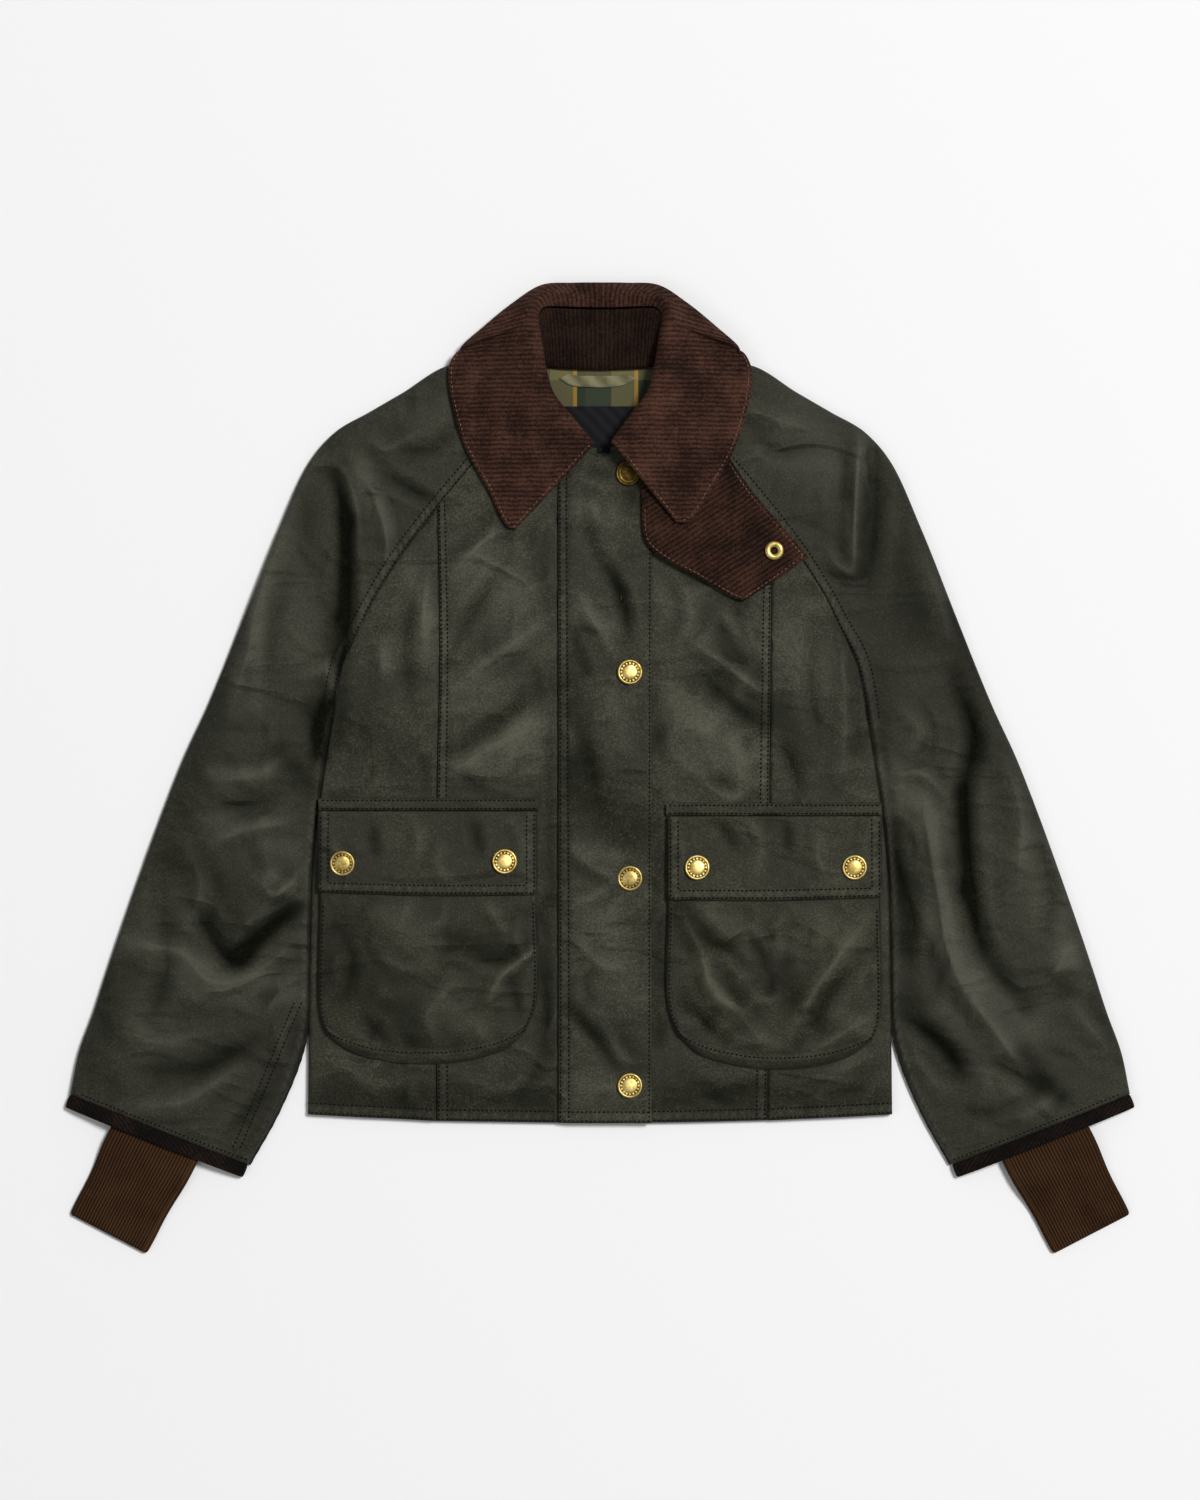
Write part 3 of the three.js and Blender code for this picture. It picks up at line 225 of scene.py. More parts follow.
BODY_FOLDS = [
    (-112, 20, -45, 62, 13, -1.6), (-110, 36, -50, 80, 12, 2.2), (-112, 98, -72, 140, 11, -1.4),
    (70, 78, 116, 32, 12, -1.6), (78, 92, 120, 62, 11, 2.2), (-160, 60, -176, -8, 13, 1.8),
    (136, 30, 152, -8, 12, 1.8), (176, 70, 180, 0, 12, 1.8),
]
BODY_CREASES = [
    (1.9, 6, (-112, 143), (-95, 163), (-75, 181)),
    (-1.5, 6, (-110, 96), (-90, 126), (-70, 156)),
    (1.8, 6, (-112, 61), (-75, 86), (-36, 116)),
    (-1.6, 6, (-112, 8), (-85, 26), (-50, 53)),
    (1.4, 5, (-108, -2), (-92, 10), (-62, 24)),
    (-1.2, 5, (-105, -7), (-85, -16)),
    (1.2, 5, (-165, 96), (-163, 66)),
    (-1.4, 6, (-140, 130), (-147, 92), (-140, 40)),
    (1.1, 5, (-128, 150), (-133, 110), (-128, 72)),
    (-1.3, 5, (85, 116), (98, 91), (122, 64)),
    (-1.2, 5, (70, 76), (95, 51), (120, 31)),
    (1.7, 5, (73, 91), (98, 73), (121, 56)),
    (1.5, 6, (180, 96), (184, 40), (182, -4)),
    (-1.3, 6, (135, 21), (144, 2), (150, -19)),
    (1.4, 5, (77, -11), (98, -22), (120, -9)),
    (-1.1, 6, (160, 110), (158, 60), (164, 20)),
    (1.0, 5, (48, 20), (62, 2), (84, -8)),
    (1.3, 5, (-33, -184), (-38, -196), (-44, -210)),
    (-1.0, 6, (-44, -150), (-40, -190), (-52, -236)),
    (1.0, 6, (-110, -228), (-80, -240), (-44, -236)),
    (-0.9, 6, (60, -232), (96, -244), (122, -236)),
    (0.9, 6, (150, -236), (180, -228), (206, -214)),
    (0.9, 6, (-200, -214), (-176, -236), (-146, -240)),
    (1.1, 5, (-40, 204), (-60, 186), (-64, 160)),
    (-1.0, 5, (44, 148), (58, 120), (52, 96)),
]
STORM_FOLDS = [(-16, 116, 16, 98, 10, 1.6), (-14, -58, 14, -84, 11, 1.4), (-16, -176, 12, -228, 11, -1)]
STORM_CREASES = [
    (1.3, 4.5, (-16, 216), (-4, 213), (8, 207)),
    (-1.2, 5, (-11, 184), (-6, 168), (0, 152)),
    (-1.8, 5, (0, 156), (16, 128), (22, 96)),
    (1.5, 5, (-15, 126), (0, 101), (11, 84)),
    (1.3, 5, (-21, -64), (0, -78), (15, -82)),
    (1.1, 4.5, (-21, -103), (-8, -98), (8, -88)),
    (-1.3, 5, (-24, -175), (0, -209), (15, -233)),
    (-0.9, 6, (-10, 32), (-6, 0), (0, -30)),
    (0.9, 5, (-18, -130), (4, -150), (20, -148)),
    (1.0, 4, (4, -196), (18, -218), (30, -222)),
]
SLEEVE_FOLDS = {
    "right": [
        (198, 236, 181, 160, 10, 4.2), (206, 222, 202, 120, 11, -1.8), (222, -86, 262, -112, 13, 3.2),
        (262, -112, 292, -72, 13, 2.6), (240, -118, 280, -150, 13, -1.8),
        (350, -132, 288, -170, 15, 3), (270, 60, 298, -30, 16, 2.2),
    ],
    "left": [
        (192, 238, 189, 150, 10, 3.6), (212, 6, 256, -60, 14, 2.6), (256, -60, 274, -152, 15, 3.2),
        (274, -152, 312, -222, 15, 2.8), (229, -72, 236, -150, 11, -1.4),
        (280, 20, 290, -90, 15, -1.6), (340, -130, 352, -160, 18, 2),
    ],
}
# Sleeve creases are drawn with x measured outwards from the middle of the jacket, on either side.
SLEEVE_CREASES = {
    "right": [
        (2.2, 6, (208, 231), (194, 225), (183, 200), (180, 178)),
        (-2.6, 6, (198, 225), (191, 171), (191, 96), (198, 60), (213, 24)),
        (1.8, 5, (187, 233), (171, 206), (160, 171), (163, 141)),
        (-1.6, 5, (167, 223), (143, 209), (126, 199)),
        (2.0, 8, (229, 205), (256, 132), (264, 88), (278, 42)),
        (-1.5, 9, (244, 180), (276, 112), (292, 50)),
        (1.7, 5, (221, 69), (206, 73), (201, 58)),
        (2.0, 6, (288, -9), (257, -5), (238, 6)),
        (-1.4, 6, (290, -32), (262, -26), (232, -18)),
        (2.1, 6, (292, -55), (257, -44), (230, -40)),
        (2.0, 5, (257, -82), (245, -94), (224, -78)),
        (-2.6, 6, (308, -102), (276, -145), (257, -126), (224, -98)),
        (2.2, 6, (354, -133), (315, -138), (292, -160), (264, -157), (226, -126)),
        (-1.5, 5, (260, -176), (250, -171), (240, -165)),
        (1.9, 7, (276, -227), (311, -250), (354, -254)),
        (-1.5, 7, (262, -206), (300, -226), (345, -228)),
        (1.3, 7, (318, -52), (300, -86), (310, -120)),
        (-1.2, 7, (330, -96), (326, -150), (340, -190)),
        (1.2, 6, (224, -178), (240, -202), (236, -226)),
        (-1.1, 5, (250, -240), (268, -262), (284, -276)),
        (1.0, 6, (300, -200), (330, -206), (362, -196)),
        (1.2, 6, (140, 250), (160, 238), (172, 246)),
        (-1.2, 6, (104, 262), (126, 240), (150, 236)),
    ],
    "left": [
        (2.2, 6, (195, 252), (191, 198), (190, 143)),
        (-1.9, 7, (206, 236), (206, 186), (200, 130)),
        (1.6, 5, (170, 163), (180, 150), (190, 143)),
        (-2.2, 7, (265, 65), (281, 26), (273, -20), (277, -75), (285, -133), (316, -184)),
        (2.3, 7, (242, -9), (246, -55), (253, -94), (265, -153), (301, -204), (316, -227)),
        (1.7, 5, (219, -5), (242, -5), (258, -20)),
        (-1.9, 6, (219, -55), (234, -114), (230, -160)),
        (-1.9, 6, (223, -184), (258, -208), (273, -231)),
        (1.8, 8, (351, -137), (343, -148), (336, -157)),
        (-1.7, 7, (301, -223), (322, -236), (343, -247)),
        (1.9, 6, (289, -266), (324, -258), (343, -243)),
        (1.3, 9, (232, 178), (256, 120), (262, 84)),
        (-1.2, 9, (256, 150), (288, 84), (306, 30)),
        (1.4, 7, (306, 0), (316, -40), (312, -92)),
        (-1.2, 7, (330, -60), (338, -100), (330, -130)),
        (1.1, 6, (224, 44), (238, 30), (232, 8)),
        (1.1, 6, (352, -176), (368, -196), (384, -216)),
        (1.0, 6, (232, -206), (246, -232), (262, -244)),
        (-1.1, 6, (110, 256), (132, 238), (158, 240)),
        (1.1, 6, (98, 276), (130, 262), (160, 252)),
    ],
}
print("creases placed by hand:", sum(map(len, (BODY_CREASES, STORM_CREASES, *SLEEVE_CREASES.values()))))

# %% [markdown]
# Waxed cotton is also patchy. Wax gathers in hollows, where the cloth stays dark, and wears thin
# on what sticks out, which turns pale and shines. The patches paint light too: the dark ones are
# painted shade on the shaded sides of folds and between parts, and the pale ones are painted
# highlight and sheen on their lit sides. Each patch is a line with a half width and a strength:
# below zero for dark, above zero for pale.

# %% Dark and pale patches: worn wax and painted light
BODY_WAX_AND_PAINTED_LIGHT = [
    (-80, 140, -76, 20, 38, 0.42), (85, 130, 84, 10, 36, 0.22), (-112, 15, -61, 50, 7, -0.8),
    (-61, 50, -36, 60, 9, -0.5), (-100, 8, -52, 30, 13, 0.8), (-95, 152, -60, 132, 18, 0.5),
    (-95, 96, -50, 70, 11, -0.3), (-112, 159, -87, 178, 5, -0.5), (-45, 170, -38, 120, 8, -0.5),
    (-108, -14, -70, -21, 6, -0.5), (-38, 20, -36, -100, 5, -0.6), (-42, -100, -38, -212, 7, -0.6),
    (-142, 150, -128, 112, 9, 0.7), (-160, 84, -134, 92, 14, 0.4), (-184, 30, -142, 8, 20, -0.5),
    (-191, 104, -198, 20, 7, -0.7), (-200, -248, -44, -250, 18, -0.8), (-80, 190, -64, 176, 7, -0.6),
    (52, 132, 80, 102, 20, 0.5), (80, 116, 95, 78, 8, -0.7), (72, 63, 119, 35, 11, -0.8),
    (57, 45, 104, 8, 18, 0.8), (42, 56, 45, 18, 6, -0.6), (85, -8, 118, -19, 6, -0.6),
    (43, -18, 45, -205, 6, -0.6), (136, 44, 152, 6, 11, -0.7), (140, 96, 165, 70, 17, 0.5),
    (184, 112, 190, 16, 9, -0.6), (50, -248, 205, -248, 18, -0.7), (62, 146, 108, 122, 8, -0.6),
    (-25, 236, 40, 232, 6, -0.4),
]
STORM_WAX_AND_PAINTED_LIGHT = [
    (-14, 196, 8, 190, 9, 0.5), (-14, 122, 8, 104, 10, 0.7), (-18, 98, -10, 72, 5, -0.8),
    (12, 146, 20, 100, 8, -0.45), (-20, 62, -12, 8, 9, -0.6), (8, 60, 18, 20, 9, 0.4),
    (-16, -12, 24, -46, 24, -0.9), (-18, -60, 12, -68, 7, 0.8), (-8, -104, 18, -158, 16, 0.5),
    (-26, -180, 2, -202, 7, -0.8), (18, -200, 30, -222, 8, -0.5), (-14, -236, 12, -246, 11, 0.5),
    (24, 210, 34, 190, 8, -0.7), (-8, 226, 10, 222, 6, -0.3),
]
POCKET_WAX_AND_PAINTED_LIGHT = {
    "right": [(-198, -150, -146, -186, 24, -0.65), (-192, -112, -168, -130, 13, -0.4),
              (-112, -128, -66, -140, 9, -0.9), (-76, -150, -54, -142, 8, 0.8),
              (-126, -174, -92, -190, 16, 0.4), (-154, -112, -126, -130, 14, 0.5),
              (-140, -203, -76, -203, 6, -0.4)],
    "left": [(61, -104, 76, -132, 7, -0.8), (84, -108, 106, -124, 11, 0.6),
             (90, -132, 102, -141, 6, -0.6), (70, -146, 96, -176, 6, 0.9),
             (64, -172, 84, -192, 7, -0.7), (96, -160, 111, -190, 7, -0.7),
             (134, -158, 164, -190, 14, -0.7), (180, -184, 200, -194, 9, 0.5),
             (164, -116, 190, -140, 15, 0.6), (106, -196, 130, -206, 8, 0.4)],
}
FLAP_WAX_AND_PAINTED_LIGHT = {
    "right": [(-171, -38, -168, -58, 9, -0.15), (-150, -50, -112, -76, 15, 0.2),
              (-98, -42, -93, -60, 9, -0.15), (-210, -44, -204, -88, 7, -0.25),
              (-70, -44, -60, -52, 9, 0.15)],
    "left": [(90, -38, 101, -58, 9, -0.175), (128, -38, 140, -58, 9, -0.175),
             (110, -46, 118, -76, 8, 0.2), (160, -44, 176, -80, 12, 0.2), (60, -44, 64, -88, 6, -0.2),
             (196, -40, 206, -60, 8, -0.2)],
}
SLEEVE_WAX_AND_PAINTED_LIGHT = {
    "right": [
        (255, 152, 258, 48, 8, 0.7), (266, 132, 264, 58, 5, -0.4), (232, 162, 224, 80, 15, 0.5),
        (191, 226, 188, 186, 7, -1.0), (188, 186, 196, 118, 8, -1.0), (198, 110, 212, 12, 7, -1.0),
        (178, 228, 160, 184, 9, 0.7), (205, 79, 200, 60, 6, 0.9), (216, 46, 208, 8, 9, -0.9),
        (292, -2, 250, -5, 6, 0.6), (240, 12, 214, -16, 9, -0.8), (286, -38, 230, -62, 11, 0.6),
        (312, -68, 270, -92, 13, -0.5), (246, -80, 226, -95, 5, 0.9), (292, -112, 270, -141, 8, -1.0),
        (270, -141, 226, -106, 7, -1.0), (352, -130, 300, -152, 11, 0.7),
        (300, -162, 234, -166, 12, 0.9), (376, -150, 366, -200, 13, -0.6),
        (346, -190, 320, -214, 15, 0.5), (326, -222, 262, -206, 11, -0.6),
        (386, -214, 366, -240, 12, -0.5), (226, -190, 262, -284, 13, -0.5),
        (292, 46, 330, -80, 15, -0.4), (214, 238, 250, 160, 8, 0.4), (130, 262, 90, 280, 12, 0.3),
        (224, 206, 214, 150, 8, -0.4),
    ],
    "left": [
        (222, 206, 236, 110, 22, -0.6), (264, 112, 286, 10, 14, -0.8), (268, 150, 288, 88, 7, 0.6),
        (210, -4, 246, -36, 13, 1.0), (222, -42, 226, -132, 7, -0.9), (247, -48, 253, -112, 11, 1.0),
        (253, -112, 278, -160, 11, 0.9), (285, -162, 322, -196, 13, 0.8),
        (272, -18, 275, -92, 8, -0.8), (275, -92, 292, -134, 8, -0.8), (300, -150, 320, -176, 8, -0.7),
        (322, -60, 346, -142, 18, 0.6), (338, -152, 352, -168, 7, -0.6),
        (352, -138, 356, -144, 7, 0.7), (232, -174, 270, -226, 12, -0.8),
        (256, -180, 300, -206, 9, 0.6), (318, -214, 346, -246, 7, -0.9),
        (280, -226, 310, -241, 9, 0.5), (280, -256, 312, -262, 7, -0.7), (191, 216, 193, 148, 6, -0.6),
        (148, 264, 212, 196, 22, 0.5), (184, 196, 188, 162, 5, 0.7), (122, 236, 166, 222, 14, 0.4),
        (208, 70, 214, 20, 9, -0.4), (372, -176, 388, -220, 8, -0.4),
    ],
}

# %% [markdown]
# Between the named creases the cloth is never quite flat. Small dents of uneven length cover it.
# A seeded table of short creases gives the same ones on every run.


# %% Small dents, the same on every run
def small_dents(seed, box, count, reach):
    """A table of short creases inside box, mostly slanting, for the cloth between the main ones."""
    dice = np.random.RandomState(seed)
    table = []
    for _ in range(count):
        x, y = dice.uniform(box[0], box[2]), dice.uniform(box[1], box[3])
        turn, length = dice.normal(0.9, 0.7), dice.uniform(0.5, 1.0) * reach
        bend = dice.uniform(-0.3, 0.3) * length
        ux, uy = math.cos(turn), math.sin(turn)
        rise = dice.choice([-1, 1]) * dice.uniform(0.3, 0.85)
        table.append((rise, dice.uniform(2.8, 6.0), (x - ux * length / 2, y - uy * length / 2),
                      (x - uy * bend, y + ux * bend), (x + ux * length / 2, y + uy * length / 2)))
    return table


FRONT_DENTS = small_dents(4, (-215, -262, 215, 200), 150, 46)
FRONT_CREASES = BODY_CREASES + FRONT_DENTS
STORM_DENTS = small_dents(9, (-30, -262, 38, 235), 26, 30)
SLEEVE_BOX = (120, -290, 395, 290)
SLEEVE_DENTS = {"right": small_dents(21, SLEEVE_BOX, 84, 52), "left": small_dents(33, SLEEVE_BOX, 84, 52)}
print("small dents on the fronts:", len(FRONT_DENTS))

# %% Heights of the fronts and the storm flap
def front_base(x, y):
    swell = SWELL * ease(0, 45, body_half(y) - np.abs(x)) * ease(0, 40, y - hem_y(x))
    return np.maximum(FOLD - 0.8, FOLD + swell + round_folds(BODY_FOLDS, x, y))


def still(x, y):
    """How far the small creases may go: none at the hem's edge, all of it 14 mm in."""
    return 0.25 + 0.75 * ease(0, 14, y - hem_y(x))


def front_top(x, y):
    return front_base(x, y) + (creases(BODY_CREASES, x, y) + creases(FRONT_DENTS, x, y)) * still(x, y)


def storm_top(x, y):
    climb = (AIR + FLAP_WALL) * ease(FLAP_LEFT, UNDERLAP_X - 2, x)
    wide = np.maximum(0, round_folds(STORM_FOLDS, x, y) + 0.4)
    sharp = creases(STORM_CREASES, x, y) + creases(STORM_DENTS, x, y)
    return front_base(x, y) + climb + wide + 0.5 + sharp * still(x, y)


print("front height in the middle: %.1f mm" % front_top(np.array([0.0]), np.array([0.0]))[0])

# %% [markdown]
# ## From a grid of points to a piece of cloth
# Every piece is a grid: rows run along it and columns across. Four edge lines and the points
# between them give a flat pattern piece, in the way a Coons patch does. Its height is then laid
# on, and the edges are rolled down by a millimetre, as a sewn edge is. A skirt along the rim, or a
# whole inner face, gives it its thickness.


# %% Pattern pieces
def shares_for(length, step, edge=(0.5, 1.3, 2.6)):
    """Even shares with a few more close to both ends, where the cloth rolls over."""
    count = max(4, int(length / step))
    inner = np.linspace(0, 1, count + 1)
    near = np.array(edge) / length
    inner = inner[(inner > near[-1] + 0.3 / count) & (inner < 1 - near[-1] - 0.3 / count)]
    return np.unique(np.round(np.concatenate([inner, [0, 1], near, 1 - near]), 6))


def pattern(left, right, bottom, top, across, up):
    low, high = even(bottom, across), even(top, across)
    a, b = even(left, up), even(right, up)
    u, v = np.asarray(across)[None, :, None], np.asarray(up)[:, None, None]
    return ((1 - v) * low[None] + v * high[None] + (1 - u) * a[:, None] + u * b[:, None]
            - (1 - u) * (1 - v) * low[0] - u * (1 - v) * low[-1] - (1 - u) * v * high[0] - u * v * high[-1])


def box_marks(x0, x1, y0, y1):
    """The left, right, bottom and top edges of a rectangle."""
    return [[x0, y0], [x0, y1]], [[x1, y0], [x1, y1]], [[x0, y0], [x1, y0]], [[x0, y1], [x1, y1]]


def runs(grid):
    """Distance of each point from the left, right, bottom and top edges, along the cloth."""
    step = np.linalg.norm(np.diff(grid, axis=1), axis=2)
    x = np.concatenate([np.zeros((len(grid), 1)), np.cumsum(step, axis=1)], axis=1)
    step = np.linalg.norm(np.diff(grid, axis=0), axis=2)
    y = np.concatenate([np.zeros((1, grid.shape[1])), np.cumsum(step, axis=0)], axis=0)
    return x, x[:, -1:] - x, y, y[-1:] - y


def with_height(flat, height):
    return np.dstack([flat, height(flat[..., 0], flat[..., 1])])


def roll_edges(grid, edges="lrbt", drop=1.1, radius=1.3):
    """Rolls the named edges down: l, r, b and t for left, right, bottom and top."""
    away = dict(zip("lrbt", runs(grid[..., :2])))
    for name in edges:
        grid[..., 2] -= drop * np.exp(-((away[name] / radius) ** 2))
    return grid


SEAM_ROWS = (2.0, 8.2)  # the two rows of a topstitched seam, from its edge
HEM_ROWS = (1.6, 8.6)  # and those of a hem, from its fold
SEAM_COLUMNS = (0.4, 1.0, 2.0, 3.2, 5.2, 7.2, 8.2, 9.2)


def stitch_dents(grid, edge, insets=SEAM_ROWS, depth=0.22, half=0.9):
    """The shallow trough that each row of stitches pulls into the cloth."""
    away = dict(zip("lrbt", runs(grid[..., :2])))[edge]
    for inset in insets:
        grid[..., 2] -= depth * np.exp(-(((away - inset) / half) ** 2))
    return grid


def pucker(grid, edge, pitch=8.5, rise=0.3, reach=9):
    """Small ripples that a tight seam draws into the cloth beside it."""
    away = dict(zip("lrbt", runs(grid[..., :2])))
    x, _, y, _ = away.values()
    along = y if edge in "lr" else x
    wave = np.sin(2 * np.pi * along / pitch + 1.7 * np.sin(along / 23.0))
    wave = wave * (0.6 + 0.4 * np.sin(along / 31.0))
    grid[..., 2] += rise * wave * np.exp(-away[edge] / reach) * ease(0, 3, away[edge])
    return grid


# %% Outward directions, meshes and sheets
def normals(grid):
    across = np.gradient(grid, axis=1)
    along = np.gradient(grid, axis=0)
    n = np.cross(across, along)
    return n / np.maximum(np.linalg.norm(n, axis=2, keepdims=True), 1e-9)


PIECES = {}


def add_mesh(name, points, faces, material, replaces=(), values=None):
    """A mesh of points in millimetres, smooth, in one material, riding with the jacket."""
    mesh = bpy.data.meshes.new(name)
    mesh.from_pydata((np.asarray(points, float) * 0.001).tolist(), [], [tuple(f) for f in faces])
    mesh.polygons.foreach_set("use_smooth", [True] * len(mesh.polygons))
    for key, numbers in (values or {}).items():
        layer = mesh.attributes.new(key, "FLOAT", "POINT")
        layer.data.foreach_set("value", np.asarray(numbers, np.float32).ravel())
    mesh.materials.append(material)
    mesh.update()
    piece = bpy.data.objects.new(name, mesh)
    bpy.context.scene.collection.objects.link(piece)
    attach(piece, "root")
    if replaces:
        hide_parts(*replaces)
    PIECES[name] = piece
    return piece


def grid_faces(rows, columns, start=0, flip=False):
    i, j = np.meshgrid(np.arange(rows - 1), np.arange(columns - 1), indexing="ij")
    a = start + i * columns + j
    faces = np.stack([a, a + 1, a + columns + 1, a + columns], axis=-1).reshape(-1, 4)
    return faces[:, ::-1] if flip else faces


def rim_of(rows, columns):
    ids = np.arange(rows * columns).reshape(rows, columns)
    return np.concatenate([ids[0, :-1], ids[:-1, -1], ids[-1, :0:-1], ids[:0:-1, 0]])


def sheet_mesh(node, grid, material, wall, whole=False, up=True, values=None, out=None):
    """The grid as a sheet: a skirt of the wall's depth round its rim, or a whole inner face."""
    rows, columns = grid.shape[:2]
    n = normals(grid) if out is None else out
    turn = 1 if (n[rows // 2, columns // 3, 2] > 0) == up else -1
    n = n * turn
    outer = grid.reshape(-1, 3)
    rim = rim_of(rows, columns)
    inner = outer - wall * n.reshape(-1, 3)
    flip = turn < 0
    faces = [grid_faces(rows, columns, flip=flip)]
    nxt = np.roll(rim, -1)
    if whole:
        points = np.vstack([outer, inner])
        faces.append(grid_faces(rows, columns, start=len(outer), flip=not flip))
        band = np.stack([nxt, rim, rim + len(outer), nxt + len(outer)], axis=1)
    else:
        points = np.vstack([outer, inner[rim]])
        k = np.arange(len(rim)) + len(outer)
        band = np.stack([nxt, rim, k, np.roll(k, -1)], axis=1)
    faces.append(band[:, ::-1] if flip else band)
    extra = {}
    for key, numbers in (values or {}).items():
        flat = np.asarray(numbers, float).ravel()
        extra[key] = np.concatenate([flat, flat if whole else flat[rim]])
    return add_mesh(f"{node}_cloth", points, np.vstack(faces), material, [node], extra)


def declare_sheet(piece, grid):
    """States the cut of a sheet: its longest row and column, and its area, all along the cloth."""
    x, _, y, _ = runs(grid)
    width, length = x[:, -1].max() / 1000, y[-1].max() / 1000
    n = np.cross(grid[1:, :-1] - grid[:-1, :-1], grid[:-1, 1:] - grid[:-1, :-1])
    m = np.cross(grid[1:, :-1] - grid[1:, 1:], grid[:-1, 1:] - grid[1:, 1:])
    area = (np.linalg.norm(n, axis=2).sum() + np.linalg.norm(m, axis=2).sum()) / 2e6
    area = min(max(area, 0.301 * width * length), width * length)
    if min(width, length) < 0.01:
        print(f"{piece.name}: a narrow tape, not a sheet")
        return
    cut = f"{width * 1000:.0f} by {length * 1000:.0f} mm, {area:.3f} m2"
    print(f"{piece.name}: {len(piece.data.polygons)} faces, cut {cut}")


def cloth(node, grid, material, wall, held="laid", rests_on=("back",), **settings):
    """The finished cloth of one solid: its mesh, and the cut that it is sewn from."""
    declare_sheet(sheet_mesh(node, grid, material, wall, **settings), grid)


def inset_line(grid, edge, inset, start=0.0, stop=1.0, count=600):
    """A line on the cloth that keeps a distance from one edge, from a start share to a stop share."""
    g = grid if edge in "lr" else np.swapaxes(grid, 0, 1)
    if edge in "rt":
        g = g[:, ::-1]
    step = np.linalg.norm(np.diff(g[..., :2], axis=1), axis=2)
    run = np.concatenate([np.zeros((len(g), 1)), np.cumsum(step, axis=1)], axis=1)
    inset = np.broadcast_to(inset, len(g))
    line = np.array([[np.interp(inset[k], run[k], g[k, :, c]) for c in range(3)] for k in range(len(g))])
    return even(line, np.linspace(start, stop, count))


# %% [markdown]
# ## Colours and the node helper
# Colours are noted as sRGB hex values, as a colour picker shows them, and Blender's shaders work
# in linear light, so one function turns them. One more function adds a node with its settings
# and joins its inputs.


# %% Colour and node helpers
def colour(hex_value):
    parts = [int(hex_value[k:k + 2], 16) / 255 for k in (1, 3, 5)]
    linear = [c / 12.92 if c <= 0.04045 else ((c + 0.055) / 1.055) ** 2.4 for c in parts]
    return (*linear, 1.0)


def add(tree, kind, inputs=None, **settings):
    """Adds a node. settings are its own properties; inputs are values, or sockets to join."""
    node = tree.nodes.new("ShaderNode" + kind)
    for key, value in settings.items():
        setattr(node, key, value)
    for key, value in (inputs or {}).items():
        if isinstance(value, bpy.types.NodeSocket):
            tree.links.new(value, node.inputs[key])
        else:
            node.inputs[key].default_value = value
    return node


def new_material(name, values):
    """A material with one shader, whose plain values are given by socket name."""
    material = bpy.data.materials.new(name)
    material.use_nodes = True
    tree = material.node_tree
    tree.nodes.clear()
    surface = add(tree, "BsdfPrincipled", values)
    add(tree, "OutputMaterial", {"Surface": surface.outputs["BSDF"]})
    return material, tree, surface


def shades(tree, factor, stops):
    """A colour ramp from (place, hex) stops."""
    ramp = add(tree, "ValToRGB", {"Fac": factor})
    while len(ramp.color_ramp.elements) < len(stops):
        ramp.color_ramp.elements.new(0.5)
    for element, (place, hex_value) in zip(ramp.color_ramp.elements, stops):
        element.position = place
        element.color = colour(hex_value)
    return ramp.outputs["Color"]


print("olive in linear light:", [round(c, 4) for c in colour("#3a3b31")[:3]])

# %% [markdown]
# ## Waxed cotton
# A tight cotton weave is soaked in wax. The wax fills the weave, so the cloth has a low, patchy
# gloss. It wears thin on ridges, which turn paler and drier, and gathers in hollows, which stay
# dark. The value of worn wax and painted light at each point sets the shine and shifts the tone,
# so it also holds painted shade on the shaded sides of folds and painted highlight and sheen on
# their lit sides. Noise of several sizes breaks it up: soft clouds, slanting dents, thin crumple
# lines where one noise crosses its middle, and a bump of small crackle, the broken surface of old
# wax. Wax has an IOR of about 1.45.


# %% Waxed cotton
WAX_IOR, WAX_ROUGHNESS = 1.45, 0.53
PATCH_MM, DENT_MM, CRUMPLE_MM, CRACKLE_MM = 70.0, 30.0, 42.0, 8.0
THREAD_MM = 1.5  # threads are 0.4 mm, drawn coarser to show
DENT_TURN = math.radians(52)  # the cloth is dented along slanting lines


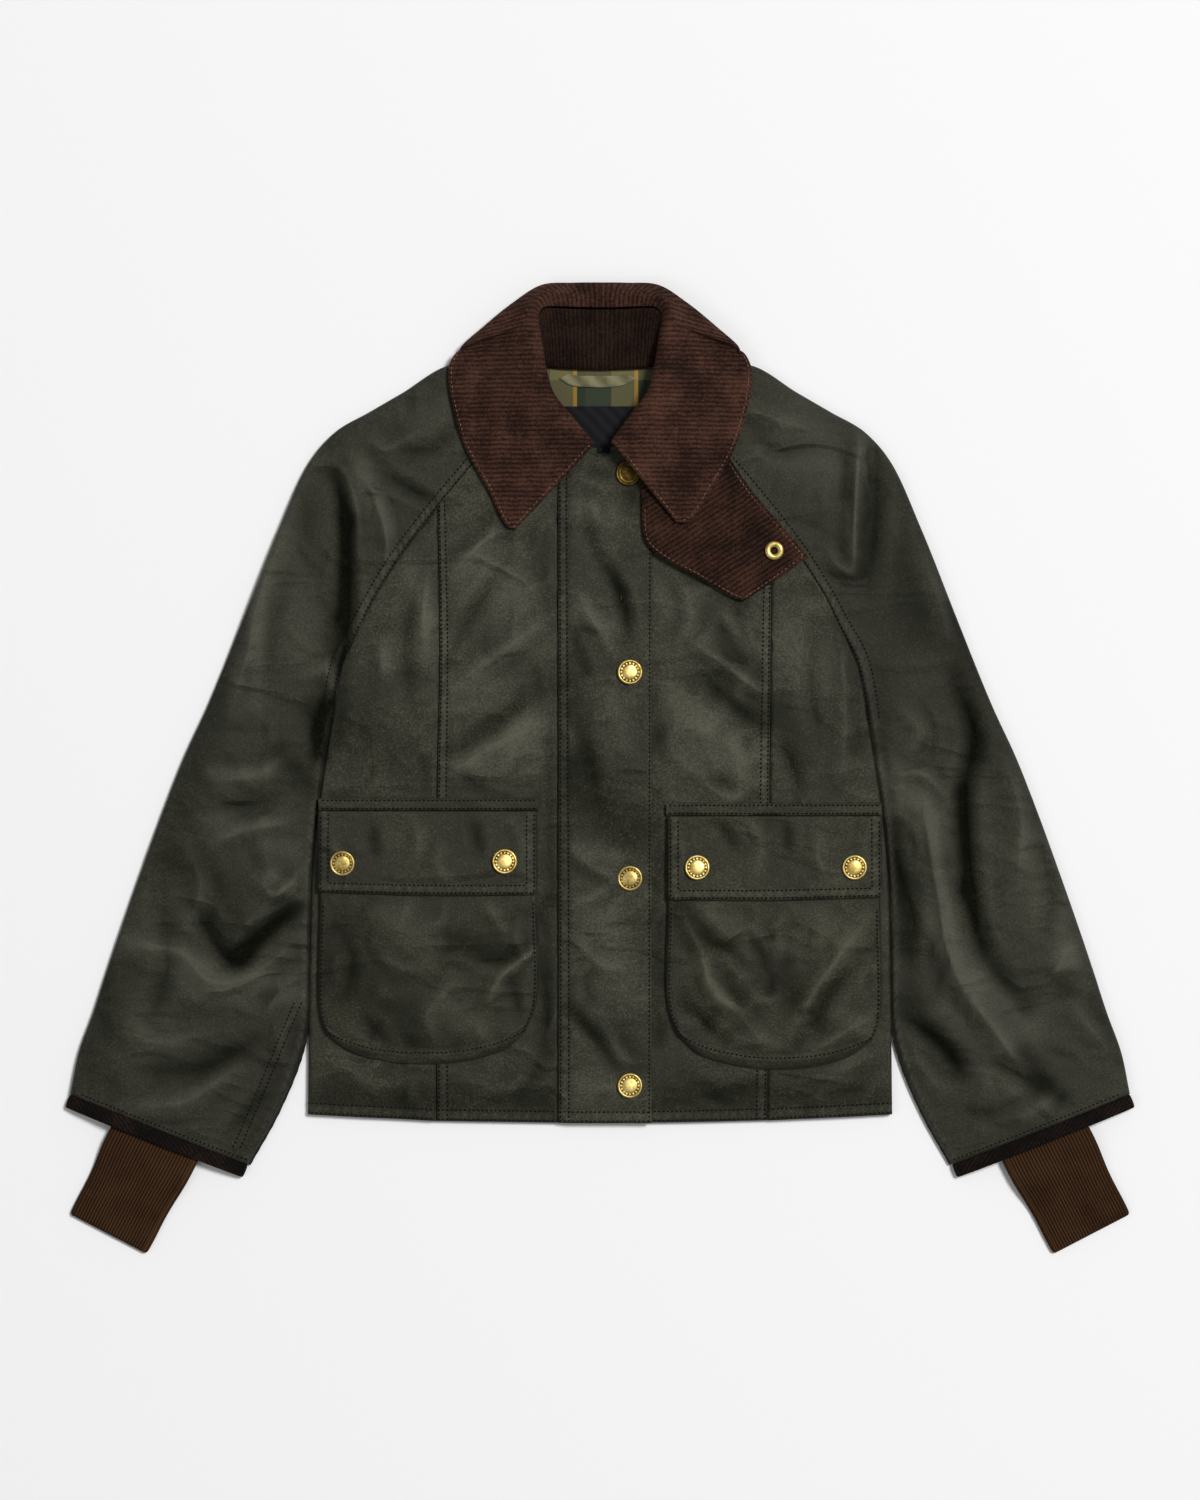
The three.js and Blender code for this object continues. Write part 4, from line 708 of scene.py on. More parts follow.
def waxed_cotton(name, dark, middle, pale_wear_and_sheen):
    material, tree, surface = new_material(name, {"IOR": WAX_IOR, "Specular Tint": colour("#fcf9e4"),
                                                  "Sheen Weight": 0.04, "Sheen Roughness": 0.5})
    place = add(tree, "TexCoord").outputs["Object"]
    slant = add(tree, "Mapping", {"Vector": place, "Rotation": (0, 0, -DENT_TURN),
                                  "Scale": (0.45, 1, 1)}).outputs["Vector"]
    cloud = add(tree, "TexNoise", {"Vector": place, "Scale": 1000 / PATCH_MM, "Detail": 4.0,
                                   "Roughness": 0.6})
    dent = add(tree, "TexNoise", {"Vector": slant, "Scale": 1000 / DENT_MM, "Detail": 1.0, "Roughness": 0.4,
                                  "Distortion": 0.6})
    crackle = add(tree, "TexNoise", {"Vector": place, "Scale": 1000 / CRACKLE_MM, "Detail": 3.0,
                                     "Roughness": 0.55, "Distortion": 0.4})
    weave = add(tree, "TexNoise", {"Vector": place, "Scale": 1000 / THREAD_MM, "Detail": 4.0,
                                   "Roughness": 0.85})
    threads = add(tree, "MapRange", {"Value": weave.outputs["Fac"], "From Min": 0.3, "From Max": 0.7})
    crumple = add(tree, "TexNoise", {"Vector": slant, "Scale": 1000 / CRUMPLE_MM, "Detail": 2.0,
                                     "Roughness": 0.5, "Distortion": 0.5})
    off_line = add(tree, "Math", {0: crumple.outputs["Fac"], 1: 0.5}, operation="SUBTRACT")
    off_line = add(tree, "Math", {0: off_line.outputs[0]}, operation="ABSOLUTE")
    crest = add(tree, "MapRange", {"Value": off_line.outputs[0], "From Min": 0.0, "From Max": 0.11,
                                   "To Min": 1.0, "To Max": 0.0})
    both = add(tree, "Mix", {0: 0.30, 2: cloud.outputs["Fac"], 3: crackle.outputs["Fac"]},
               data_type="FLOAT")
    both = add(tree, "Mix", {0: 0.1, 2: both.outputs[0], 3: crest.outputs["Result"]}, data_type="FLOAT")
    grain = add(tree, "Mix", {0: 0.48, 2: both.outputs[0], 3: threads.outputs["Result"]}, data_type="FLOAT")
    wax_and_painted_light = add(tree, "Attribute", attribute_name="wax_and_painted_light").outputs["Fac"]
    placed = add(tree, "Math", {0: wax_and_painted_light, 1: 0.14, 2: grain.outputs[0]}, operation="MULTIPLY_ADD")
    tone = shades(tree, placed.outputs[0], [(0.34, dark), (0.5, middle), (0.70, pale_wear_and_sheen)])
    # The same value sets the specular level, so the pale patches shine: painted sheen and highlight.
    shine = add(tree, "MapRange", {"Value": wax_and_painted_light, "From Min": -1.0, "From Max": 1.0, "To Min": 0.03,
                                   "To Max": 0.95})
    tree.links.new(shine.outputs["Result"], surface.inputs["Specular IOR Level"])
    tree.links.new(tone, surface.inputs["Base Color"])
    gloss = add(tree, "MapRange", {"Value": both.outputs[0], "From Min": 0.3, "From Max": 0.7,
                                   "To Min": WAX_ROUGHNESS - 0.05, "To Max": WAX_ROUGHNESS + 0.08})
    tree.links.new(gloss.outputs["Result"], surface.inputs["Roughness"])
    fine = add(tree, "Bump", {"Height": weave.outputs["Fac"], "Strength": 0.9, "Distance": 0.0007})
    dents = add(tree, "Bump", {"Height": crackle.outputs["Fac"], "Normal": fine.outputs["Normal"],
                               "Strength": 0.3, "Distance": 0.0014})
    lines = add(tree, "Bump", {"Height": crest.outputs["Result"], "Normal": dents.outputs["Normal"],
                               "Strength": 0.6, "Distance": 0.002})
    soft = add(tree, "Bump", {"Height": dent.outputs["Fac"], "Normal": lines.outputs["Normal"],
                              "Strength": 0.6, "Distance": 0.004})
    tree.links.new(soft.outputs["Normal"], surface.inputs["Normal"])
    return material


WAXED = waxed_cotton("waxed cotton", "#080903", "#1b1c12", "#434336")
# The sleeves and the pockets take the same waxed cotton in darker tones: painted shade.
SHADED_WAXED_SLEEVE = waxed_cotton("waxed cotton of the sleeves, in painted shade", "#060702", "#14150c", "#333328")
SHADED_WAXED_POCKET = waxed_cotton("waxed cotton of the pockets, in painted shade", "#050601", "#13140a", "#3a3a2a")
print("materials:", [m.name for m in bpy.data.materials])

# %% [markdown]
# ## Corduroy
# Corduroy is woven with long floats that are cut and brushed up into ridges, the wales. Here there
# are about seven to the inch, 3.5 mm apart. The pile takes light softly on the round of each wale
# and is almost black in the groove between. The sheets carry a value that counts wales, and a
# cosine of it gives both the bump and the tone.

# %% Corduroy
WALE_MM = 3.5
PILE_MM = 1.8  # pile tufts are finer than this, and drawn coarser to show


def corduroy(name, groove, body, crown):
    material, tree, surface = new_material(name, {"Roughness": 0.92, "Specular IOR Level": 0.12})
    place = add(tree, "TexCoord").outputs["Object"]
    count = add(tree, "Attribute", attribute_name="wale").outputs["Fac"]
    wander = add(tree, "TexNoise", {"Vector": place, "Scale": 90.0, "Detail": 3.0})
    shift = add(tree, "Math", {0: wander.outputs["Fac"], 1: 0.6}, operation="MULTIPLY")
    turns = add(tree, "Math", {0: count, 1: shift.outputs[0]}, operation="ADD")
    angle = add(tree, "Math", {0: turns.outputs[0], 1: 2 * math.pi}, operation="MULTIPLY")
    wave = add(tree, "Math", {0: angle.outputs[0]}, operation="COSINE")
    ridge = add(tree, "MapRange", {"Value": wave.outputs[0], "From Min": -1.0, "From Max": 0.6,
                                   "To Min": 0.26, "To Max": 0.7})
    pile = add(tree, "TexNoise", {"Vector": place, "Scale": 1000 / PILE_MM, "Detail": 4.0,
                                  "Roughness": 0.85})
    worn = add(tree, "TexNoise", {"Vector": place, "Scale": 38.0, "Detail": 4.0, "Roughness": 0.6})
    speck = add(tree, "Math", {0: pile.outputs["Fac"], 1: 0.5}, operation="SUBTRACT")
    speck = add(tree, "Math", {0: speck.outputs[0], 1: 2.8, 2: ridge.outputs["Result"]},
                operation="MULTIPLY_ADD")
    patch = add(tree, "Math", {0: worn.outputs["Fac"], 1: 0.5}, operation="SUBTRACT")
    patch = add(tree, "Math", {0: patch.outputs[0], 1: 1.9, 2: speck.outputs[0]}, operation="MULTIPLY_ADD")
    # The tone follows the wales: painted shade in each groove and painted highlight on each crown, over
    # patches of wear.
    tree.links.new(shades(tree, patch.outputs[0], [(0.1, groove), (0.55, body), (1.0, crown)]),
                   surface.inputs["Base Color"])
    tufts = add(tree, "Bump", {"Height": pile.outputs["Fac"], "Strength": 0.35, "Distance": 0.0006})
    wales = add(tree, "Bump", {"Height": ridge.outputs["Result"], "Normal": tufts.outputs["Normal"],
                               "Strength": 0.6, "Distance": 0.0007})
    tree.links.new(wales.outputs["Normal"], surface.inputs["Normal"])
    return material


CORDUROY = corduroy("brown corduroy", "#1b0e08", "#35211a", "#4e3226")
# The tab and the stand take the same corduroy in darker tones: painted shade, as they lie in the collar's
# shade.
SHADED_TAB_CORDUROY = corduroy("corduroy of the throat tab, in painted shade", "#110804", "#291811", "#40281d")
SHADED_STAND_CORDUROY = corduroy("corduroy of the stand, in painted shade", "#0a0402", "#1b100a", "#2c1c14")
BINDING_CORDUROY = corduroy("corduroy of the cuff bindings", "#060403", "#130c09", "#241913")

# %% [markdown]
# ## Rib knit, lining, label, tape, thread and brass
# The cuffs are wool rib knit, matt and a little hairy, with painted shade in the grooves between
# the ribs. The neck is lined with brushed cotton in a plain window check. The label is a bare
# woven one and the hanger is khaki twill tape. Seams are sewn with a thread darker than the waxed
# cloth, painted near black for the shade of the holes it lies in, and the corduroy with a paler
# brown one. The snaps are brass, dulled by handling, and the throat snap's brass is painted dark
# for the shade of the collar over it.


# %% Rib knit
def rib_knit():
    material, tree, surface = new_material("wool rib knit", {"Roughness": 0.95, "Specular IOR Level": 0.12})
    place = add(tree, "TexCoord").outputs["Object"]
    rib = add(tree, "Attribute", attribute_name="rib").outputs["Fac"]
    fuzz = add(tree, "TexNoise", {"Vector": place, "Scale": 900.0, "Detail": 3.0, "Roughness": 0.7})
    patch = add(tree, "TexNoise", {"Vector": place, "Scale": 45.0, "Detail": 3.0})
    both = add(tree, "Math", {0: fuzz.outputs["Fac"], 1: 0.5, 2: rib}, operation="MULTIPLY_ADD")
    both = add(tree, "Math", {0: patch.outputs["Fac"], 1: 0.5, 2: both.outputs[0]},
               operation="MULTIPLY_ADD")
    # The rib value darkens the grooves between the ribs: painted shade.
    tree.links.new(shades(tree, both.outputs[0], [(0.35, "#140b05"), (0.95, "#341f10"), (1.0, "#46301b")]),
                   surface.inputs["Base Color"])
    bump = add(tree, "Bump", {"Height": fuzz.outputs["Fac"], "Strength": 0.5, "Distance": 0.0006})
    tree.links.new(bump.outputs["Normal"], surface.inputs["Normal"])
    return material


# %% Lining, with a generic window check
REPEAT_M = 0.046


def check_lining():
    """Broad green and olive fields with thin mustard and dark lines on one repeat."""
    material, tree, surface = new_material("brushed cotton lining",
                                           {"Roughness": 0.9, "Specular IOR Level": 0.15})
    place = add(tree, "TexCoord").outputs["Object"]
    split = add(tree, "SeparateXYZ", {"Vector": place})
    bands = []
    for axis, start in (("X", 0.011), ("Y", 0.004)):
        moved = add(tree, "Math", {0: split.outputs[axis], 1: start}, operation="ADD")
        inside = add(tree, "Math", {0: moved.outputs[0], 1: REPEAT_M}, operation="FLOORED_MODULO")
        unit = add(tree, "Math", {0: inside.outputs[0], 1: REPEAT_M}, operation="DIVIDE")
        bands.append(shades(tree, unit.outputs[0], [(0.0, "#343a2c"), (0.42, "#6a6442"), (0.80, "#b98a33"),
                                                    (0.86, "#232a22")]))
        tree.nodes[-1].color_ramp.interpolation = "CONSTANT"
    plaid = add(tree, "Mix", {0: 0.5, 6: bands[0], 7: bands[1]}, data_type="RGBA")
    weave = add(tree, "TexNoise", {"Vector": place, "Scale": 700.0, "Detail": 2.0})
    bump = add(tree, "Bump", {"Height": weave.outputs["Fac"], "Strength": 0.4, "Distance": 0.0005})
    tree.links.new(plaid.outputs[2], surface.inputs["Base Color"])
    tree.links.new(bump.outputs["Normal"], surface.inputs["Normal"])
    return material


# %% Plain woven trims: label, tape and thread
def plain_weave(name, dark, pale_wear_and_sheen, thread_mm, roughness):
    """A trim with slanting threads: two hex tones and the distance between threads."""
    material, tree, surface = new_material(name, {"Roughness": roughness, "Specular IOR Level": 0.15})
    place = add(tree, "TexCoord").outputs["Object"]
    twill = add(tree, "TexWave", {"Vector": place, "Scale": 1000 / thread_mm / 20, "Distortion": 1.0,
                                  "Detail": 2.0}, bands_direction="DIAGONAL")
    noise = add(tree, "TexNoise", {"Vector": place, "Scale": 300.0, "Detail": 3.0})
    both = add(tree, "Mix", {0: 0.5, 2: twill.outputs["Fac"], 3: noise.outputs["Fac"]}, data_type="FLOAT")
    tree.links.new(shades(tree, both.outputs[0], [(0.2, dark), (0.8, pale_wear_and_sheen)]), surface.inputs["Base Color"])
    bump = add(tree, "Bump", {"Height": twill.outputs["Fac"], "Strength": 0.4, "Distance": 0.0004})
    tree.links.new(bump.outputs["Normal"], surface.inputs["Normal"])
    return material


# %% Brass of the snaps
def aged_brass(name, dark, bright):
    """Pressed brass, brown where it has tarnished and bright where hands rub it."""
    material, tree, surface = new_material(name, {"Metallic": 1.0})
    place = add(tree, "TexCoord").outputs["Object"]
    tarnish = add(tree, "TexNoise", {"Vector": place, "Scale": 260.0, "Detail": 5.0, "Roughness": 0.7})
    tree.links.new(shades(tree, tarnish.outputs["Fac"], [(0.35, dark), (0.62, bright)]),
                   surface.inputs["Base Color"])
    dull = add(tree, "MapRange", {"Value": tarnish.outputs["Fac"], "From Min": 0.3, "From Max": 0.7,
                                  "To Min": 0.52, "To Max": 0.38})
    tree.links.new(dull.outputs["Result"], surface.inputs["Roughness"])
    bump = add(tree, "Bump", {"Height": tarnish.outputs["Fac"], "Strength": 0.15, "Distance": 0.0003})
    tree.links.new(bump.outputs["Normal"], surface.inputs["Normal"])
    return material


KNIT, LINING = rib_knit(), check_lining()
LABEL = plain_weave("woven label", "#131316", "#1e1e21", 0.9, 0.9)
TAPE = plain_weave("khaki twill tape", "#5a563f", "#837e60", 1.4, 0.9)
# The waxed cotton thread is painted near black: painted shade, for the holes it lies in.
SHADED_THREAD = plain_weave("waxed cotton thread, in painted shade", "#040402", "#0b0b07", 0.9, 0.9)
COLLAR_THREAD = plain_weave("brown thread", "#5a4536", "#8a705c", 0.9, 0.8)
BRASS = aged_brass("aged brass", "#b0903f", "#ecd78f")
# Tarnish for the sunken ring of each cap; the whole throat snap takes it too, as painted shade under the
# collar leaf.
TARNISHED_AND_SHADED_BRASS = aged_brass("tarnished brass, also painted shade", "#3c2d12", "#7a6330")
print("materials:", len(bpy.data.materials))

# %% [markdown]
# ## Stitches
# Topstitching is what makes a seam read as sewn. Each stitch is a real short thread lying in the
# cloth, about 1.9 mm long on a 3.3 mm pitch. One small rounded bar is copied along each row, and
# all rows on a piece are joined in one mesh.

# %% Rows of stitches
STITCH_MM, PITCH_MM, THREAD_RADIUS, STITCH_LIFT = 1.9, 3.3, 0.6, 0.12
COLLAR_STITCH = {"pitch": 3.6, "length": 2.2, "radius": 0.3, "rows": "collar_stitching"}
STITCHES = {"topstitching": ([], [], SHADED_THREAD), "collar_stitching": ([], [], COLLAR_THREAD)}


def stitch_row(line, pitch=PITCH_MM, length=STITCH_MM, radius=THREAD_RADIUS, rows="topstitching"):
    """Stitches along a line of points in space."""
    stitch_points, stitch_faces, _ = STITCHES[rows]
    step = np.linalg.norm(np.diff(line, axis=0), axis=1)
    total = step.sum()
    count = int(total / pitch)
    starts = (np.arange(count) + 0.3) * pitch / total
    a, b = even(line, starts), even(line, starts + length / total)
    for p, q in zip(a, b):
        along = (q - p) / max(np.linalg.norm(q - p), 1e-6)
        side = np.cross(along, [0, 0, 1])
        side /= max(np.linalg.norm(side), 1e-6)
        top = np.cross(side, along)
        base = sum(map(len, stitch_points))
        ring = []
        for share, swell, rise in ((0.0, 0.35, -0.1), (0.25, 1.0, STITCH_LIFT), (0.75, 1.0, STITCH_LIFT),
                                   (1.0, 0.35, -0.1)):
            middle = p + (q - p) * share + top * rise
            for turn in range(5):
                w = 2 * math.pi * turn / 5
                ring.append(middle + radius * swell * (math.cos(w) * side + math.sin(w) * top))
        stitch_points.append(np.array(ring))
        for k in range(3):
            for turn in range(5):
                n = (turn + 1) % 5
                stitch_faces.append((base + 5 * k + turn, base + 5 * k + n, base + 5 * k + 5 + n,
                                     base + 5 * k + 5 + turn))
        stitch_faces.append(tuple(base + t for t in (4, 3, 2, 1, 0)))
        stitch_faces.append(tuple(base + 15 + t for t in range(5)))


# %% [markdown]
# ## Back
# The back is cut in one and lies flat on the table. Only its folded sides and the inside of the
# neck are ever seen, so it is a plain sheet that curls up at the sides to meet the fronts.


# %% Back panel
def rounded_edge(distance, radius):
    s = np.minimum(np.asarray(distance) / radius, 1)
    return radius * np.sqrt(np.maximum(0, 1 - (1 - s) ** 2))


def closed_below(distance):
    return ease(0, 30, distance)


def mirrored(marks):
    return [[-x, y] for x, y in marks]


seam = [[x - 0.8, y - 0.8] for x, y in RAGLAN]
raglan = seam[:-1] + [BODY_SIDE[-1]]
neck = [[-47, 294], [-40, 298.9], [0, BACK_NECK_Y], [40, 298.9], [47, 294]]
flat = pattern(smooth(mirrored(BODY_SIDE)), smooth(BODY_SIDE),
               smooth([[s * HALF_HEM, hem_y(s * HALF_HEM)] for s in (-1, -0.5, 0, 0.5, 1)]),
               straight(mirrored(raglan)[::-1] + neck + raglan),
               shares_for(2 * HALF_HEM, 4.5, (0.4, 1, 1.8, 3, 4.2)), np.linspace(0, 1, 120))
left_run, right_run, _, _ = runs(flat)
closed = closed_below(ARMPIT[1] - flat[..., 1])
away = np.minimum(left_run, right_run)
back_grid = np.dstack([flat, (FOLD / 2 - rounded_edge(away, FOLD / 2)) * closed + 0.02])
cloth("back", back_grid, WAXED, SHELL, rests_on=(), whole=True, up=False)

# %% [markdown]
# ## Fronts
# Each front is cut in two, with a princess seam that runs from the raglan seam to the hem. The
# side piece rolls round to meet the back. The seams are pulled tight, so the cloth ripples along
# them, and two rows of stitches hold each seam down.


# %% Side fronts
def side_front(name):
    sign = -1 if name == "right" else 1
    place = lambda marks: [[sign * x, y] for x, y in marks]
    princess = [[x + sign * 0.15, y] for x, y in PRINCESS[name]]
    join = [princess[-1][0], princess[-1][1] - 0.6]
    shoulder = [[x - 0.45, y - 0.45] for x, y in RAGLAN[4:]][::-1]
    top = [place([BODY_SIDE[-1]])[0]] + place(shoulder[1:]) + [join]
    flat = pattern(smooth(place(BODY_SIDE)), smooth(princess[:-1] + [join]),
                   smooth([place([BODY_SIDE[0]])[0], [sign * 180, hem_y(180)], [sign * 150, hem_y(150)],
                           princess[0]]),
                   smooth(top), shares_for(96, 1.9, (0.4, 1, 1.8, 3)), shares_for(462, 2.0))
    grid = with_height(flat, front_top)
    drop = (FOLD / 2 - rounded_edge(runs(flat)[0], FOLD / 2)) * closed_below(ARMPIT[1] - flat[..., 1])
    grid[..., 2] -= drop
    roll_edges(grid, "rt")
    pucker(grid, "r")
    pucker(grid, "t", rise=0.35)
    cloth(f"{name}_front_side", grid, WAXED, SHELL, values=patches(BODY_WAX_AND_PAINTED_LIGHT, FRONT_CREASES, grid, "b"))
    for inset in HEM_ROWS:
        stitch_row(inset_line(grid, "b", inset))


for name in ("right", "left"):
    side_front(name)

# %% Centre fronts
def princess_marks(name, shift):
    return [[x + shift, y] for x, y in PRINCESS[name]]


marks = princess_marks("right", 0.15)
join = [marks[-1][0], marks[-1][1] - 0.6]
edge = FLAP_LEFT - 0.3
upper_raglan = [[x - 0.2, y - 0.6] for x, y in RAGLAN[:4]]
foot, throat = [edge, hem_y(edge)], [edge, neck_front_y(edge)]
flat = pattern(smooth(marks[:-1] + [join]), smooth([foot, [edge, 0], throat]),
               smooth([marks[0], [-80, hem_y(80)], foot]),
               straight([join] + mirrored(upper_raglan[:3])[::-1]
                        + [[-44, neck_front_y(44) - 0.4], throat]),
               shares_for(92, 1.8, SEAM_COLUMNS), shares_for(540, 2.0))
right_grid = stitch_dents(roll_edges(with_height(flat, front_top), "lrb", drop=0.9, radius=0.6), "l")
pucker(right_grid, "l", pitch=7.5, rise=0.45)
cloth("right_front", right_grid, WAXED, SHELL, values=patches(BODY_WAX_AND_PAINTED_LIGHT, FRONT_CREASES, right_grid, "lb"))

marks = princess_marks("left", -0.15)
join = [marks[-1][0], marks[-1][1] - 0.6]
edge = UNDERLAP_X
foot, throat = [edge, hem_y(edge)], [edge, neck_front_y(edge)]
neckline = [[x, neck_front_y(x) - 0.3] for x in (-6, 8, 22, 36, 46)]
flat = pattern(smooth([foot, [edge, 0], throat]), smooth(marks[:-1] + [join]),
               smooth([foot, [50, hem_y(50)], marks[0]]),
               straight([throat] + neckline + upper_raglan[:3] + [join]),
               shares_for(148, 1.9, SEAM_COLUMNS), shares_for(540, 2.0))
left_grid = stitch_dents(with_height(flat, front_top), "r")
hidden = ease(FLAP_RIGHT + 4, FLAP_RIGHT - 6, left_grid[..., 0])
left_grid[..., 2] = mix(left_grid[..., 2], front_base(left_grid[..., 0], left_grid[..., 1]), hidden)
roll_edges(left_grid, "rb", drop=0.9, radius=0.6)
pucker(left_grid, "r", pitch=7.5, rise=0.45)
cloth("left_front", left_grid, WAXED, SHELL, values=patches(BODY_WAX_AND_PAINTED_LIGHT, FRONT_CREASES, left_grid, "rb"))

for inset in SEAM_ROWS:
    stitch_row(inset_line(right_grid, "l", inset))
    stitch_row(inset_line(left_grid, "r", inset))
for inset in HEM_ROWS:
    stitch_row(inset_line(right_grid, "b", inset))
    stitch_row(inset_line(left_grid, "b", inset, 0.35, 1.0))
print("stitches so far:", len(STITCHES["topstitching"][0]))

# %% [markdown]
# ## Storm flap
# A long strip is sewn to the right front and closes over the left front with snaps, to keep wind
# out of the opening. Its free edge stands a little above the cloth below, which gives the long
# soft shadow down the middle of the jacket.

# %% Storm flap
top_marks = [[x, neck_front_y(x) - 0.3] for x in (FLAP_LEFT, -24, -16, -8, 0, 8, 16, 24, 31, FLAP_RIGHT)]
foot_marks = [[x, hem_y(0)] for x in (FLAP_LEFT, 0, FLAP_RIGHT)]
flat = pattern(smooth([foot_marks[0], [FLAP_LEFT, 0], top_marks[0]]),
               smooth([foot_marks[-1], [FLAP_RIGHT, 0], top_marks[-1]]),
               smooth(foot_marks), smooth(top_marks), shares_for(70, 1.6, SEAM_COLUMNS),
               shares_for(520, 1.9))
storm_grid = roll_edges(with_height(flat, storm_top), "lrbt", drop=0.8, radius=0.7)
stitch_dents(storm_grid, "l")
stitch_dents(storm_grid, "r", (2.0,))
storm_grid[..., 2] += 0.5 * np.exp(-((FLAP_RIGHT - 4 - flat[..., 0]) / 5) ** 2) * np.sin(flat[...,
    1] / 26.0)
pucker(storm_grid, "r", pitch=9, rise=0.22)
wax_and_painted_light = patches(STORM_WAX_AND_PAINTED_LIGHT, STORM_CREASES + STORM_DENTS, storm_grid, "lb")
cloth("storm_flap", storm_grid, WAXED, FLAP_WALL, rests_on=["left_front_cloth"], whole=True, values=wax_and_painted_light)
for inset in SEAM_ROWS:
    stitch_row(inset_line(storm_grid, "l", inset))
stitch_row(inset_line(storm_grid, "r", 1.8))
for inset in HEM_ROWS:
    stitch_row(inset_line(storm_grid, "b", inset))

# %% [markdown]
# ## Sleeves
# A raglan sleeve is one piece of cloth from the neck to the wrist. Laid flat it is a long tube:
# over the top from the raglan seam to the outer fold, and back along the table. Below the armpit
# the two edges meet in the underarm seam.


# %% Sleeves
ON_TOP, NEAR_SEAM = 90, 60  # columns of a sleeve that lie on top, and those its raglan seam ripples


def sleeve_top(name, row, t, x, y):
    inner = front_base(x, y)
    wrist = ease(len(SLEEVE_INNER) - 5, len(SLEEVE_INNER) - 1, row)
    opened = 1 - closed_below((row - ARMPIT_ROW) * 30)
    crown = mix(SWELL, 6.2, wrist) * np.sin(np.pi * np.clip(t, 0, 1)) ** mix(0.8, 0.7, wrist)
    base = mix(FOLD, inner, opened * (1 - ease(0, 0.6, t)))
    rise = round_folds(SLEEVE_FOLDS[name], x, y) * ease(0, 0.12, t) * ease(0, 0.12, 1 - t)
    height = np.maximum(FOLD - 0.6, base + crown * mix(1, ease(0, 0.4, t), opened)
                        + rise * (1 - wrist * 0.6))
    calm = ease(-0.02, 0.07, t) * ease(-0.02, 0.07, 1 - t)
    calm = calm * (1 - 0.75 * ease(0.93, 1, row / (len(SLEEVE_INNER) - 1)))
    return height + (creases(SLEEVE_CREASES[name], x, y) * 1.15 + creases(SLEEVE_DENTS[name], x, y)) * calm


def sleeve(name, rows=290, top_points=84, under_points=26):
    sign = -1 if name == "right" else 1
    share = np.linspace(0, 1, rows)
    inner, outer = curve(SLEEVE_INNER, share), curve(SLEEVE_OUTER, share)
    row = share[:, None] * (len(SLEEVE_INNER) - 1)
    width = np.linalg.norm(outer - inner, axis=1)[:, None]
    radius = FOLD / 2
    closed = closed_below((row - ARMPIT_ROW) * 30)
    near = np.array([-1.6, -0.7, 0.3, 1.0, 1.8, 2.8, 4.0])[None]
    run = np.concatenate([np.broadcast_to(near, (rows, 7)),
                          5.5 + (width - radius - 5.5) * np.linspace(0, 1, top_points)[None]], axis=1)
    t = run / width
    x = mix(inner[:, :1], outer[:, :1], t)
    y = mix(inner[:, 1:], outer[:, 1:], t)
    top = sleeve_top(name, row, t, x, y) - (radius - rounded_edge(run, radius)) * closed
    lift = top[:, -1:]
    turn = np.linspace(0, math.pi, 11)[None, 1:-1]
    bend = width - radius + radius * np.sin(turn)
    bend_z = lift / 2 + lift / 2 * np.cos(turn)
    under = (width - radius) * (1 - np.linspace(0, 1, under_points)[None]) + 0 * width
    under_z = 0.02 + (radius - rounded_edge(under, radius)) * closed * 0.94
    run = np.concatenate([run, bend, under], axis=1)
    z = np.concatenate([top, bend_z, under_z], axis=1)
    t = run / width
    grid = np.dstack([sign * mix(inner[:, :1], outer[:, :1], t), mix(inner[:, 1:], outer[:, 1:], t), z])
    opened = 1 - closed[:, 0]
    first = runs(grid[..., :2])[0]
    grid[..., 2] -= 1.1 * np.exp(-((first / 1.3) ** 2)) * opened[:, None] * (np.arange(grid.shape[1]) < ON_TOP)
    along = np.linspace(0, 1, rows)[:, None] * 640
    ripple = np.sin(2 * np.pi * along / 9 + 1.5 * np.sin(along / 21))
    ripple = ripple * np.exp(-first / 10) * ease(0, 3, first)
    grid[..., 2] += 0.4 * ripple * (np.arange(grid.shape[1]) < NEAR_SEAM)
    wax_and_painted_light = patches(SLEEVE_WAX_AND_PAINTED_LIGHT[name], SLEEVE_CREASES[name], grid * [sign, 1, 1], "l")
    cloth(f"{name}_sleeve", grid, SHADED_WAXED_SLEEVE, SHELL, values=wax_and_painted_light)
    rows_near = (1.8, 8.4) if name == "right" else (1.6, 9.2)
    for inset in rows_near:
        stitch_row(inset_line(grid[:, :70], "l", inset, 0.02, 0.47))
    stitch_row(inset_line(grid[:, 4:88], "t", 3.0))
    return grid


def drape(line, grid, count=200):
    """A line of marks laid down on the top of a grid."""
    flat = even(smooth(line), np.linspace(0, 1, count))
    face = grid[:, :80].reshape(-1, 3)
    nearest = [int(np.argmin((face[:, 0] - x) ** 2 + (face[:, 1] - y) ** 2)) for x, y in flat]
    return np.column_stack([flat, face[nearest, 2]])


sleeves = {name: sleeve(name) for name in ("right", "left")}
UNDERARM_SEAM = [[-223.5, -175], [-236, -205], [-254, -248], [-271, -288]]
for aside in (0, 5.5):
    stitch_row(drape([[x - aside, y] for x, y in UNDERARM_SEAM], sleeves["right"]))
print("stitches so far:", len(STITCHES["topstitching"][0]))

# %% [markdown]
# ## Cuff bindings
# The sleeve ends are bound with a strip of corduroy, cut on the bias, so its wales slant across
# the roll. It is a plump little roll with rounded ends.

# %% Cuff bindings
BINDING_WIDTH, BINDING_PROUD, CUFF_WALL = 10.5, 0.8, 1.2
BIAS = 0.72  # wales passed along a strip cut on the bias, as a share of its length


